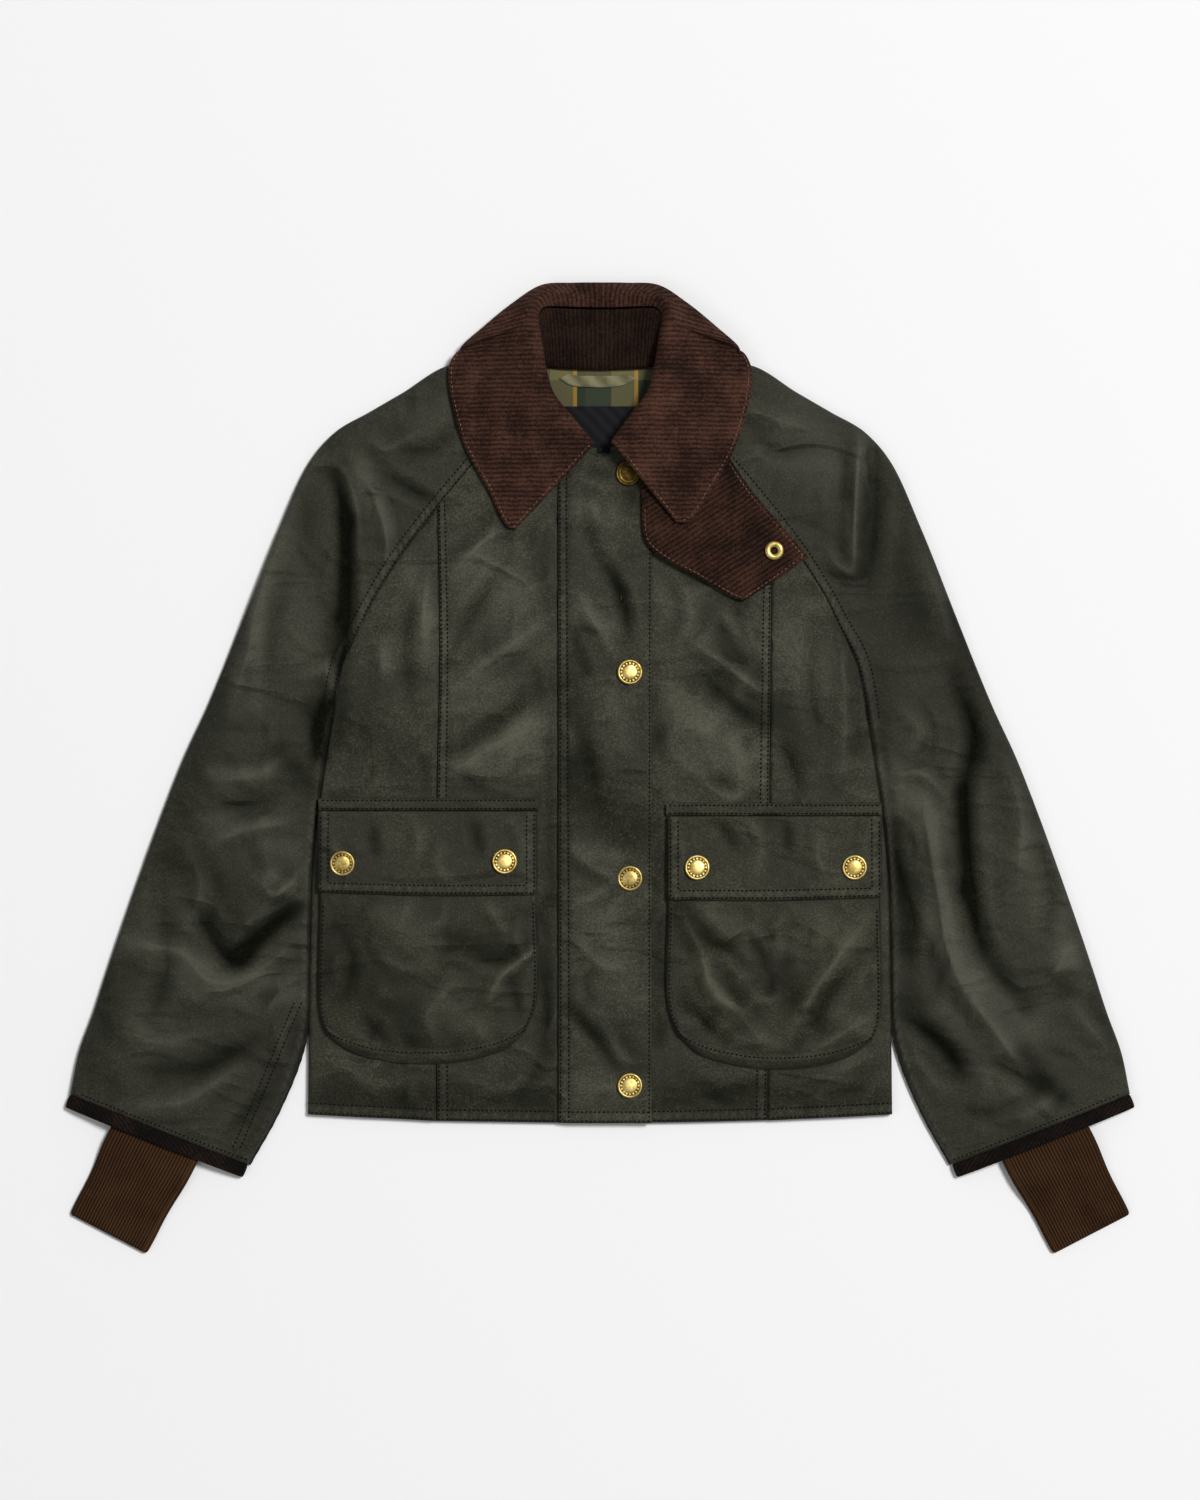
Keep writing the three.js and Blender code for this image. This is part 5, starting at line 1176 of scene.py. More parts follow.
def wrist_frame(name):
    sign = -1 if name == "right" else 1
    inner, outer = np.array(SLEEVE_INNER[-1], float), np.array(SLEEVE_OUTER[-1], float)
    across = (outer - inner) / np.linalg.norm(outer - inner)
    return sign, inner, outer, across, np.array([across[1], -across[0]])


def binding(name):
    sign, inner, outer, across, down = wrist_frame(name)
    width = np.linalg.norm(outer - inner)
    angles = np.linspace(0, math.pi, 26)
    out_run = BINDING_WIDTH * (1 - np.cos(angles)) / 2 + 0.3
    puff = np.sin(angles) ** 0.6
    steps = np.linspace(0, 1, 90)
    loops = []
    for run, p in zip(out_run, puff):
        inset = 1.3 * (1 - p)
        radius = (FOLD + BINDING_PROUD) / 2 - inset
        turn = np.linspace(math.pi / 2, -math.pi / 2, 12)
        ripple = 0.5 * np.sin(steps * 19) * np.sin(np.pi * steps)
        top = FOLD + BINDING_PROUD + 6.2 * np.sin(np.pi * steps) ** 0.7 - inset + ripple
        flat_run = mix(radius + inset, width - radius - inset, steps)
        middle = (FOLD + BINDING_PROUD) / 2
        ring_run = np.concatenate([flat_run, width - radius - inset + radius * np.cos(turn), flat_run[::-1],
                                   radius + inset - radius * np.cos(turn)])
        ring_z = np.concatenate([top, middle + radius * np.sin(turn), np.full(90, inset + 0.02),
                                 middle - radius * np.sin(turn)])
        plane = inner[None] + across[None] * ring_run[:, None] + down[None] * run
        loops.append(np.column_stack([sign * plane[:, 0], plane[:, 1], ring_z]))
    grid = np.array(loops)
    grid = np.concatenate([grid, grid[:, :1]], axis=1)
    around = np.concatenate([[0], np.cumsum(np.linalg.norm(np.diff(grid[13], axis=0), axis=1))])
    wales = (around[None] * BIAS + out_run[:, None] * 1.5 * BIAS) / WALE_MM
    cloth(f"{name}_cuff_binding", grid, BINDING_CORDUROY, CUFF_WALL, held="folded",
          rests_on=[f"{name}_sleeve_cloth"], values={"wale": wales})


for name in ("right", "left"):
    binding(name)

# %% [markdown]
# ## Knit cuffs
# A tube of rib knit is sewn inside each sleeve end. Its ribs run along the arm, about 2.3 mm
# apart, and it draws the cuff in, so it is narrower than the sleeve.

# %% Knit cuffs
KNIT_TOP, KNIT_END = np.array([334.5, -282.6]), np.array([369.5, -350.1])
KNIT_HALF_TOP, KNIT_HALF_END, KNIT_HEIGHT, RIB_MM = 35.0, 32.0, 4.4, 2.33


def knit_cuff(name, samples=7):
    sign = -1 if name == "right" else 1
    length = np.linalg.norm(KNIT_END - KNIT_TOP)
    down = (KNIT_END - KNIT_TOP) / length
    across = np.array([-down[1], down[0]])
    ribs = int(2 * KNIT_HALF_END / RIB_MM)
    steps = np.linspace(0, 1, ribs * samples + 1)
    under = np.linspace(0, 1, 40)
    rows, marks = [], []
    lengths = np.concatenate([np.linspace(-20, length - 3, 38),
                              length - 3 + 3 * np.sin(np.linspace(0.15, math.pi / 2, 6))])
    for run in lengths:
        close = max(0.0, run - (length - 3)) / 3
        inset = KNIT_HEIGHT / 2 * (1 - math.sqrt(max(0.0, 1 - close**2))) * 0.9
        half = mix(KNIT_HALF_TOP, KNIT_HALF_END, min(max(run / length, 0),
                                                     1)) - inset + 0.5 * math.sin(run / 9)
        centre = KNIT_TOP + down * run
        bottom = 3.4 * (1 - float(ease(12.5, 40, run))) + inset
        height = KNIT_HEIGHT - 2 * inset
        radius = height / 2
        wave = 0.5 + 0.5 * np.cos(2 * np.pi * ribs * steps)
        dimple = 0.35 * np.sin(run / 1.1 + 3.0 * np.sin(steps * 40))
        top = bottom + height + 0.55 * wave + 0.10 * dimple + 0.9 * np.sin(np.pi * steps) * (1 - close)
        turn = np.linspace(math.pi / 2, -math.pi / 2, 10)
        ring_run = np.concatenate([mix(-half + radius, half - radius, steps),
                                   half - radius + radius * np.cos(turn),
                                   mix(half - radius, -half + radius, under),
                                   -half + radius - radius * np.cos(turn)])
        ring_z = np.concatenate([top, bottom + radius + radius * np.sin(turn), np.full(40, bottom + 0.02),
                                 bottom + radius - radius * np.sin(turn)])
        plane = centre[None] + across[None] * ring_run[:, None]
        rows.append(np.column_stack([sign * plane[:, 0], plane[:, 1], ring_z]))
        # The rib value: high on each rib and low in its groove, where the knit is painted with shade.
        marks.append(np.concatenate([wave * 0.6, np.full(60, 0.35)]))
    grid = np.array(rows)
    grid = np.concatenate([grid, grid[:, :1]], axis=1)
    mark = np.array(marks)
    mark = np.concatenate([mark, mark[:, :1]], axis=1)
    cloth(f"{name}_knit_cuff", grid, KNIT, CUFF_WALL, rests_on=(), values={"rib": mark})


for name in ("right", "left"):
    knit_cuff(name)

# %% [markdown]
# ## Pockets
# Each bellows pocket is a shallow bag with a turned gusset round its sides and bottom, under a flap
# with two snaps. The flap hangs from a narrow sewn strip. The bag slouches, so it has folds of its
# own and a soft rim.

# %% Pockets
STRIP_WIDTH, POCKET_FLAP_DROP, POCKET_DROP, POCKET_RISE, GUSSET = 9.4, 72.0, 199.5, 3.4, 8.0
BAG_EDGE = (0.4, 1.0, 1.9, 3.0, 4.4)
POCKETS = {"right": (-1, 46.8, 210.6, -22.6), "left": (1, 50.4, 210.6, -26.4)}
POCKET_FOLDS = {
    "right": [(-48, -136, -84, -170, 11, 1.8), (-60, -126, -130, -140, 13, -0.8)],
    "left": [(62, -106, 82, -158, 9, 1.6), (82, -158, 116, -196, 10, 2.2),
             (206, -130, 166, -190, 13, -0.8)],
}
POCKET_CREASES = {
    "right": [
        (-1.7, 5, (-50, -130), (-75, -145), (-98, -142)),
        (1.9, 5, (-50, -137), (-75, -157), (-85, -180)),
        (-1.3, 4.5, (-66, -157), (-64, -172), (-62, -186)),
        (1.4, 5, (-86, -103), (-78, -114), (-68, -126)),
        (1.0, 5, (-142, -99), (-146, -108), (-152, -118)),
        (-1.3, 6, (-178, -184), (-168, -198), (-156, -210)),
        (1.2, 6, (-110, -160), (-130, -186), (-122, -208)),
        (-1.0, 6, (-196, -120), (-186, -146), (-192, -176)),
        (0.9, 5, (-170, -130), (-150, -150), (-128, -150)),
        (1.0, 5, (-96, -190), (-84, -204), (-74, -206)),
    ],
    "left": [
        (2.0, 5, (60, -108), (75, -137), (84, -167), (105, -185), (120, -203)),
        (-1.5, 5, (68, -106), (90, -133), (111, -130)),
        (-1.2, 5, (111, -128), (120, -141), (126, -155)),
        (1.8, 6, (201, -112), (165, -160), (144, -197)),
        (-1.4, 6, (207, -130), (174, -167), (160, -192)),
        (1.3, 5, (207, -184), (168, -207), (148, -218)),
        (1.0, 5, (140, -106), (132, -122), (136, -140)), (-1.0, 5, (70, -176), (82, -196), (98, -206)),
        (0.9, 5, (98, -150), (120, -172), (138, -176)),
    ],
}
FLAP_CREASES = {
    "right": [(-1.2, 5, (-171, -43), (-170, -56), (-168, -68)),
              (-1.2, 5, (-96, -40), (-93, -52), (-90, -65)),
              (1.0, 5, (-140, -36), (-136, -54), (-142, -72)),
              (0.9, 5, (-204, -46), (-198, -66), (-202, -86)),
              (1.0, 4.5, (-110, -88), (-122, -74), (-120, -60)),
              (0.8, 5, (-64, -40), (-58, -60), (-62, -84))],
    "left": [(-1.3, 5, (90, -40), (96, -52), (105, -62)),
             (-1.2, 5, (139, -40), (140, -54), (141, -66)),
             (1.0, 5, (114, -38), (120, -58), (116, -82)),
             (0.9, 5, (166, -44), (162, -64), (170, -88)), (1.0, 4.5, (56, -46), (62, -66), (58, -86)),
             (0.8, 5, (204, -44), (198, -58), (202, -84))],
}
BAG_DENTS = {"right": small_dents(51, (-205, -216, -52, -96), 24, 30),
             "left": small_dents(57, (56, -220, 206, -100), 24, 30)}


def bag_height(y, top, distance):
    full = mix(1, POCKET_RISE, ease(0, 60, top - STRIP_WIDTH - y)) + POCKET_WALL
    return AIR + full * rounded_edge(distance, GUSSET) / GUSSET


def pocket(name):
    sign, centre, edge, top = POCKETS[name]
    near, far = sign * centre, sign * edge
    lowest = top - POCKET_DROP
    corner = lowest + 24
    flat = pattern(
        smooth([[far - sign * 6.5, corner - 3], [far, corner + 14], [far, -100], [far, top - 14]]),
        smooth([[near + sign * 9, corner], [near, corner + 24], [near, -100], [near, top - 14]]),
        smooth([[far - sign * 6.5, corner - 3], [far - sign * 24, lowest + 9],
                [far - sign * 52, lowest + 1.6], [sign * 126, lowest], [near + sign * 50, lowest + 3],
                [near + sign * 24, lowest + 11], [near + sign * 9, corner]]),
        smooth([[far, top - 14], [sign * 126, top - 14], [near, top - 14]]),
        shares_for(164, 1.9, BAG_EDGE), shares_for(180, 1.9, BAG_EDGE))
    left_run, right_run, low_run, _ = runs(flat)
    distance = np.minimum(np.minimum(left_run, right_run) * 2.4, low_run)
    x, y = flat[..., 0], flat[..., 1]
    inside = ease(GUSSET, 20, distance)
    folds = round_folds(POCKET_FOLDS[name], x, y) + creases(POCKET_CREASES[name], x, y)
    folds = (folds + creases(BAG_DENTS[name], x, y)) * inside
    ridge = 0.8 * np.exp(-(((distance - 7.5) / 2.0) ** 2)) - 0.5 * np.exp(-(((distance - 10.5) / 1.8) ** 2))
    z = front_base(x, y) + bag_height(y, top, distance) + folds + ridge * ease(-100, -130, y)
    grid = np.dstack([flat, z])
    wax_and_painted_light = patches(POCKET_WAX_AND_PAINTED_LIGHT[name], POCKET_CREASES[name] + BAG_DENTS[name], grid)
    cloth(f"{name}_pocket", grid, SHADED_WAXED_POCKET, POCKET_WALL, rests_on=[f"{name}_front_cloth"], values=wax_and_painted_light)
    ends = np.linspace(0, 1, flat.shape[1])
    low_inset = 3.2 + 5.6 * ease(0, 0.16, ends) * ease(0, 0.16, 1 - ends)
    for line in (inset_line(grid, "l", 3.4, 0.03, 0.62), inset_line(grid, "b", low_inset, 0.03, 0.97),
                 inset_line(grid, "r", 3.4, 0.03, 0.62)):
        stitch_row(line)

    low = top - POCKET_FLAP_DROP
    head = top - STRIP_WIDTH - 0.3
    flat = pattern(
        straight([[far - sign * 1.5, low + 1.6], [far + sign * 0.2, low + 3.4], [far + sign * 0.6, low + 6],
                  [far + sign * 0.6, head]]),
        straight([[near + sign * 2.6, low - 0.2], [near + sign * 0.8, low + 1.8],
                  [near + sign * 0.5, low + 5], [near + sign * 0.5, head]]),
        smooth([[far - sign * 1.5, low + 1.6], [sign * 128, low - 0.8], [near + sign * 2.6, low - 0.2]]),
        smooth([[far + sign * 0.6, head], [near + sign * 0.5, head]]),
        shares_for(163, 1.9), shares_for(63, 1.6))
    x, y = flat[..., 0], flat[..., 1]
    wide = np.maximum(0, round_folds(POCKET_FOLDS[name], x, y))
    bag_under = bag_height(y, top, np.full(x.shape, GUSSET)) + wide
    sharp = creases(FLAP_CREASES[name], x, y) * ease(2, 12, head - y)
    z = front_base(x, y) + bag_under + AIR + FLAP_WALL + 0.5 + sharp
    cover_grid = roll_edges(np.dstack([flat, z]), "lrbt", drop=0.7, radius=1.1)
    pucker(cover_grid, "b", pitch=11, rise=0.18)
    wax_and_painted_light = patches(FLAP_WAX_AND_PAINTED_LIGHT[name], FLAP_CREASES[name], cover_grid, "lrb")
    cloth(f"{name}_pocket_flap", cover_grid, SHADED_WAXED_POCKET, FLAP_WALL, rests_on=[f"{name}_pocket_cloth"],
          whole=True, values=wax_and_painted_light)
    for inset in (2.0, 7.6):
        share_x, share_y = inset / 163, inset / 63
        stitch_row(inset_line(cover_grid, "l", inset, share_y, 0.98))
        stitch_row(inset_line(cover_grid, "r", inset, share_y, 0.98))
        stitch_row(inset_line(cover_grid, "b", inset, share_x, 1 - share_x))

    x0, x1, y0 = far + sign * 0.6, near - sign * 0.8, top - STRIP_WIDTH
    flat = pattern(*map(straight, box_marks(x0, x1, y0, top)), shares_for(164, 2.0), shares_for(9.4, 0.8))
    strip_wall = FLAP_WALL + 1
    strip_grid = with_height(flat, lambda x, y: front_base(x, y) + 2 * AIR + strip_wall
                             + 0.25 * np.sin(x / 5.2))
    strip_grid[..., 2] += 0.4 * np.sin(np.pi * (flat[..., 1] - top + STRIP_WIDTH) / STRIP_WIDTH)
    roll_edges(strip_grid, "bt", drop=0.6, radius=0.7)
    cloth(f"{name}_pocket_strip", strip_grid, SHADED_WAXED_POCKET, strip_wall, rests_on=[f"{name}_front_cloth"],
          whole=True)
    for edge_name in "bt":
        stitch_row(inset_line(strip_grid, edge_name, 1.7, 0.01, 0.99))


for name in ("right", "left"):
    pocket(name)
print("stitches so far:", len(STITCHES["topstitching"][0]))

# %% [markdown]
# ## Collar
# The collar is a stand and a fall, cut apart and sewn together just inside the roll. On the jacket
# it goes up, over and down again all round the neck. Its shape is a loft: each section is a line
# from the foot of the stand over the roll to the outer edge, and the band runs through the
# sections. At the shoulders and back the fall turns under, onto the table.

# %% Sections of the collar
COLLAR = [
    ((-15, 240.5, 11.4), (-3.6, 242.6, 15.4), (-9, 236.4, 22.2), None, (-63.5, 178.5, 12.2)),
    ((-18.5, 243.4, 11.5), (-7.6, 247.4, 15.7), (-13.2, 242, 22.3), None, (-70.3, 181.5, 12.2)),
    ((-29, 252, 11.8), (-19.6, 262, 16.4), (-25.6, 258.6, 22.4), None, (-83, 206.5, 12.2)),
    ((-41, 268, 10.4), (-34.5, 281, 17.4), (-40, 279.5, 23.2), None, (-101, 239.5, 12.2)),
    ((-49, 284, 9.2), (-40, 300, 18.2), (-46, 300, 24.2), None, (-111, 272, 12)),
    ((-50, 294, 9), (-42.5, 316, 18.2), (-48.5, 317.5, 24.2), None, (-114, 294, 11.4)),
    ((-49.3, 297.5, 8.6), (-43.6, 322, 18), (-49.6, 324.5, 24), None, (-112.6, 303.6, 10.4)),
    ((-48.1, 299.2, 8.2), (-44.4, 327.6, 17.8), (-50.3, 331, 23.6), None, (-107.0, 312.2, 9)),
    ((-47.5, 300, 8), (-44.8, 330, 17.7), (-50.6, 333.5, 23.4), (-104.4, 315.4), (-99, 310.5, 3)),
    ((-43.5, 301, 7), (-45.4, 338, 17), (-51, 343, 22.4), (-88, 330.5), (-88, 307, 0)),
    ((-37, 300.5, 6.4), (-42, 344, 16), (-47, 350.5, 20.4), (-66, 348.5), (-66, 304, 0)),
    ((-28, 299.5, 6.2), (-31, 345, 14.6), (-34, 355.5, 17.4), (-44, 362.3), (-44, 303.5, 0)),
    ((-14, 298.8, 6), (-15, 344.6, 13.2), (-16, 355.5, 14.6), (-20, 364), (-20, 303, 0)),
    ((0, 298.5, 6), (0, 344.4, 12.8), (0, 355.8, 14.2), (0, 364.2), (0, 303, 0)),
]
WRAP_HEIGHT = 6.6
LEFT_SHIFT = [((3.8, 1.4, 5.6), (-6.5, 5.2, 6.4)), ((3.2, 1.2, 5.2), (-3.6, 2.6, 6.4)),
              ((1.4, 0.8, 4.2), (1, 2.5, 6.4)), ((0, 0, 2), (0, 0, 5)), ((0, 0, 0), (0, 0, 1.6))]


def collar_line(foot, seam, crest, fold, edge, tuck=0.0):
    """Marks of one section, from the foot of the stand to the outer edge of the fall. tuck, from 0
    to 1, draws a leaf's marks to its edge, where the fall starts to turn under."""
    foot, seam, crest, edge = (np.array(p, float) for p in (foot, seam, crest, edge))
    if fold is not None:
        turn = np.array([*fold, WRAP_HEIGHT])
        shoulder = mix(turn, crest, min(0.4, WRAP_HEIGHT * 0.32 / np.linalg.norm(turn - crest)))
        shoulder[2] = WRAP_HEIGHT * 1.72
        over = mix(crest, shoulder, 0.5)
        over[2] = mix(crest[2], WRAP_HEIGHT * 2.06, 0.55)
        under = mix(turn, edge, min(0.5, WRAP_HEIGHT / np.hypot(*(turn - edge)[:2])))
        under[2] = 0.5 * edge[2]
        return [foot, seam, crest, over, shoulder, turn, under, edge]
    leaf = []
    for s in mix(np.array([0.28, 0.5, 0.7, 0.86]), np.array([0.48, 0.93, 0.965, 0.985]), tuck):
        p = mix(crest, edge, s)
        p[2] = mix(edge[2], crest[2], (1 - s) ** 1.5)
        leaf.append(p)
    return [foot, seam, crest, *leaf, edge]


def collar_sections():
    tucks = np.interp(range(len(COLLAR)), [3.5, 7], [0, 1])
    right = [collar_line(*section, tuck) for section, tuck in zip(COLLAR, tucks)]
    left = []
    for k, (foot, seam, crest, fold, edge) in enumerate(COLLAR[:-1]):
        front, tip = LEFT_SHIFT[k] if k < len(LEFT_SHIFT) else ((0, 0, 0), (0, 0, 0))
        moved = lambda p, by: (-p[0] + by[0], p[1] + by[1], p[2] + by[2])
        left.append(collar_line(moved(foot, (front[0], front[1], 0.2 * front[2])), moved(seam, front),
                                moved(crest, front),
                                None if fold is None else (-fold[0], fold[1]), moved(edge, tip), tucks[k]))
    return right + left[::-1]


# %% Collar cloth
def collar():
    sections = collar_sections()
    gaps = len(sections[0]) - 1
    stand_at = np.concatenate([np.linspace(0, 0.9, 12), [0.935, 0.965]]) / gaps
    fall_at = (1 + np.concatenate([[0.035, 0.065, 0.12, 0.2, 0.3], np.linspace(0.4, 6, 66)])) / gaps
    across = np.concatenate([stand_at, fall_at])
    profiles = np.array([curve(section, across) for section in sections])
    band = np.linspace(0, 1, 430)
    grid = np.array([curve(profiles[:, k], band) for k in range(len(across))])
    grid[..., 2] = np.maximum(0.02, grid[..., 2])
    split = len(stand_at)

    # The wales: level across the leaves, upright at the back of the neck.
    crest_row = grid[split + 8]
    run = np.concatenate([[0], np.cumsum(np.linalg.norm(np.diff(crest_row, axis=0), axis=1))])
    place = band * (len(sections) - 1)
    bend = ease(6.0, 10.2, place) * ease(6.0, 10.2, len(sections) - 1 - place)
    half = len(band) // 2
    knee = np.interp(8.0, place, run)
    along = np.where(np.arange(len(band)) < half, run, run[-1] - run)
    leaf_y = grid[..., 1] - np.interp(8.0, place, crest_row[:, 1])
    wales = mix(leaf_y + knee, along[None] + 0 * leaf_y, bend[None]) / WALE_MM

    # Soft dents of the thick cloth, the seam of stand and fall, and the rolled edge of the fall.
    x, y = grid[..., 0], grid[..., 1]
    dents = [(0.9, 9, (-60, 300), (-78, 280), (-74, 250)), (-0.8, 8, (-88, 300), (-96, 270), (-86, 236)),
             (0.8, 8, (-50, 230), (-62, 214), (-70, 196)),
             (0.9, 9, (62, 306), (80, 284), (76, 252)), (-0.8, 8, (90, 296), (94, 262), (84, 232)),
             (0.8, 8, (46, 236), (58, 216), (68, 200)),
             (-0.7, 7, (-52, 262), (-66, 244), (-60, 222)), (0.7, 7, (54, 262), (70, 240), (62, 218))]
    grid[split:, :, 2] += creases(dents, x[split:], y[split:]) * (grid[split:, :, 2] > 8)
    out = normals(grid)
    out = out * (1 if out[split + 20, 120, 2] > 0 else -1)
    from_seam = np.concatenate([np.arange(split)[::-1] + 0.4, np.arange(len(across) - split) + 0.4])
    from_seam = from_seam[:, None, None]
    grid -= out * 0.45 * np.exp(-((from_seam / 1.2) ** 2))
    edges = np.minimum(np.arange(len(band)), len(band) - 1 - np.arange(len(band)))[None, :, None]
    last = (len(across) - 1 - np.arange(len(across)))[:, None, None]
    roll = np.exp(-((edges / 1.6) ** 2)) + np.exp(-((last / 1.0) ** 2))
    grid -= out * 0.9 * np.minimum(roll, 1)
    ends = np.exp(-(((edges - 3.4) / 1.2) ** 2)) + np.exp(-(((last - 2.4) / 0.8) ** 2))
    grid -= out * 0.25 * np.minimum(ends, 1)
    grid[..., 2] = np.maximum(0.02, grid[..., 2])

    stand_grid, fall_grid = grid[:split], grid[split:]
    wall = CORD_WALL - 0.4
    cloth("collar_stand", stand_grid, SHADED_STAND_CORDUROY, wall, held="folded", rests_on=["neck_lining_cloth"],
          whole=True, values={"wale": wales[:split]}, out=out[:split])
    cloth("collar_fall", fall_grid, CORDUROY, wall, held="folded",
          rests_on=["right_sleeve_cloth", "left_sleeve_cloth"],
          whole=True, values={"wale": wales[split:]}, out=out[split:])
    for edge_name, start, stop in (("l", 0.06, 0.99), ("r", 0.06, 0.99), ("t", 0.01, 0.28),
                                   ("t", 0.72, 0.99)):
        stitch_row(inset_line(fall_grid, edge_name, 2.6, start, stop), **COLLAR_STITCH)


collar()

# %% [markdown]
# ## Throat tab
# A tab of corduroy is sewn under the left side of the collar and buttons across the throat in bad
# weather. It hangs loose here, over the left front, with the socket ring of its snap showing.

# %% Throat tab
TAB_LOWER = [[31, 222], [31.2, 196], [33.5, 170], [42.8, 160.2], [72.8, 143.2], [101.3, 127.2],
             [108.6, 125.6]]
TAB_UPPER = [[92, 240], [114.8, 206.3], [137.3, 180], [156.2, 158.2]]
TAB_ROOT, TAB_END = 11.8, 9.4


def tab_height(x):
    return mix(TAB_ROOT, TAB_END, ease(40, 130, x)) + CORD_WALL


TAB_CREASES = [(0.9, 8, (60, 170), (84, 176), (110, 160)), (-0.8, 7, (70, 150), (96, 150), (128, 158))]
flat = pattern(smooth([TAB_LOWER[0], [62, 234], TAB_UPPER[0]]),
               smooth([TAB_LOWER[-1], [133, 142], TAB_UPPER[-1]]),
               smooth(TAB_LOWER), smooth(TAB_UPPER), shares_for(118, 1.4), shares_for(66, 1.4))
tab_grid = with_height(flat, lambda x, y: tab_height(x) + creases(TAB_CREASES, x, y))
roll_edges(tab_grid, "rbt", drop=1.0, radius=1.5)
TAB_TURN = math.radians(33)
wales = (-flat[..., 0] * math.sin(TAB_TURN) + flat[..., 1] * math.cos(TAB_TURN)) / WALE_MM
cloth("throat_tab", tab_grid, SHADED_TAB_CORDUROY, CORD_WALL, rests_on=["left_front_cloth"], whole=True,
      values={"wale": wales})
for edge_name, start, stop in (("r", 0.04, 0.96), ("b", 0.2, 0.98), ("t", 0.05, 0.98)):
    stitch_row(inset_line(tab_grid, edge_name, 2.6, start, stop), **COLLAR_STITCH)

# %% [markdown]
# ## Snaps
# Each snap has a pressed brass cap: a rolled rim, a sunken ring with fine radial marks, and a low
# dome. It is turned like a bowl, from one profile, and the marks are small raised ticks. The
# caps lean a little, each its own way, so some flash and some stay dark.

# %% Snap caps and the ring of the tab
CAP_RADIUS, CAP_HEIGHT, CAP_LIFT, TICKS = 9.4, 2.3, 0.8, 16
BOX_FACES = ((3, 2, 1, 0), (4, 5, 6, 7), (0, 1, 5, 4), (1, 2, 6, 5), (2, 3, 7, 6), (3, 0, 4, 7))


def turned(profile, at, height, segments=56):
    """Points and faces of a profile turned about +Z."""
    angles = np.linspace(0, 2 * math.pi, segments, endpoint=False)
    r, z = np.array(profile, float).T
    rings = np.stack([r[:, None] * np.cos(angles) + at[0], r[:, None] * np.sin(angles) + at[1],
                      np.broadcast_to(z[:, None] + height, (len(r), segments))], axis=-1)
    points = rings.reshape(-1, 3)
    faces = []
    for k in range(len(r) - 1):
        low, high = k * segments, (k + 1) * segments
        for j in range(segments):
            following = (j + 1) % segments
            faces.append((low + j, low + following, high + following, high + j))
    return points, faces


def snap_cap(node, x, y, height, lean, metal=BRASS):
    """A cap, its dark ring and its ticks. lean is the slope of the cap towards the upper right."""
    r, h, floor = CAP_RADIUS, CAP_HEIGHT, height + CAP_LIFT
    slope = lambda px, py: lean * ((px - x) * 0.77 + (py - y) * 0.64)
    tip = lambda points: np.array([[px, py, pz - slope(px, py)] for px, py, pz in points])
    profile = [(0.05, 0), (r * 0.86, 0), (r * 0.98, h * 0.22), (r, h * 0.45), (r * 0.985, h * 0.72),
               (r * 0.93, h * 0.92), (r * 0.88, h * 0.96), (r * 0.84, h * 0.88), (r * 0.81, h * 0.7),
               (r * 0.78, h * 0.66), (r * 0.60, h * 0.68), (r * 0.56, h * 0.78), (r * 0.5, h * 0.88),
               (r * 0.3, h * 0.97), (r * 0.12, h), (0.05, h)]
    points, faces = turned(profile, (x, y), floor)
    add_mesh(f"{node}_cap", tip(points), faces, metal, replaces=[node])
    band, band_faces = turned([(r * 0.58, h * 0.6), (r * 0.59, h * 0.73), (r * 0.8, h * 0.71),
                               (r * 0.81, h * 0.6)], (x, y), floor)
    add_mesh(f"{node}_ring", tip(band), band_faces, TARNISHED_AND_SHADED_BRASS)
    ticks, tick_faces = [], []
    for k in range(TICKS):
        w = 2 * math.pi * k / TICKS
        u, v = np.array([math.cos(w), math.sin(w)]), np.array([-math.sin(w), math.cos(w)])
        base = len(ticks)
        for lift in (h * 0.66, h * 0.84):
            for a, b in ((0.62, -0.045), (0.76, -0.06), (0.76, 0.06), (0.62, 0.045)):
                ticks.append([*(np.array([x, y]) + r * (a * u + b * v)), floor + lift])
        tick_faces += [tuple(base + i for i in face) for face in BOX_FACES]
    marks = add_mesh(f"{node}_ticks", tip(ticks), tick_faces, metal)
    marks.data.polygons.foreach_set("use_smooth", [False] * len(tick_faces))


def flap_height(name, x, y):
    top = POCKETS[name][-1]
    x, y = np.array([float(x)]), np.array([float(y)])
    bag = bag_height(y, top, np.array([GUSSET])) + np.maximum(0, round_folds(POCKET_FOLDS[name], x, y))
    return float((front_base(x, y) + bag + AIR + FLAP_WALL)[0])


def storm_height(x, y):
    x, y = np.array([float(x)]), np.array([float(y)])
    climb = (AIR + FLAP_WALL) * ease(FLAP_LEFT, UNDERLAP_X - 2, x)
    return float((front_base(x, y) + climb + np.maximum(0, round_folds(STORM_FOLDS, x, y) + 0.4))[0])


caps = [("throat_snap", 21.2, 220.8, -0.05), ("front_snap_1", 22.5, 72, 0.08),
        ("front_snap_2", 22.5, -82.5, -0.05), ("front_snap_3", 22.5, -237.8, 0.08)]
for node, x, y, lean in caps:
    # The throat snap is made in the darker brass: painted shade, under the collar leaf.
    snap_cap(node, x, y, storm_height(x, y), lean, TARNISHED_AND_SHADED_BRASS if node == "throat_snap" else BRASS)
for name, places in (("right", [(-192.8, -71.3, -0.05), (-71.3, -69.8, 0.11)]),
                     ("left", [(72.8, -74.3, 0.1), (190.5, -74.3, 0.04)])):
    for k, (x, y, lean) in enumerate(places):
        snap_cap(f"{name}_pocket_cap_{k + 1}", x, y, flap_height(name, x, y), lean)

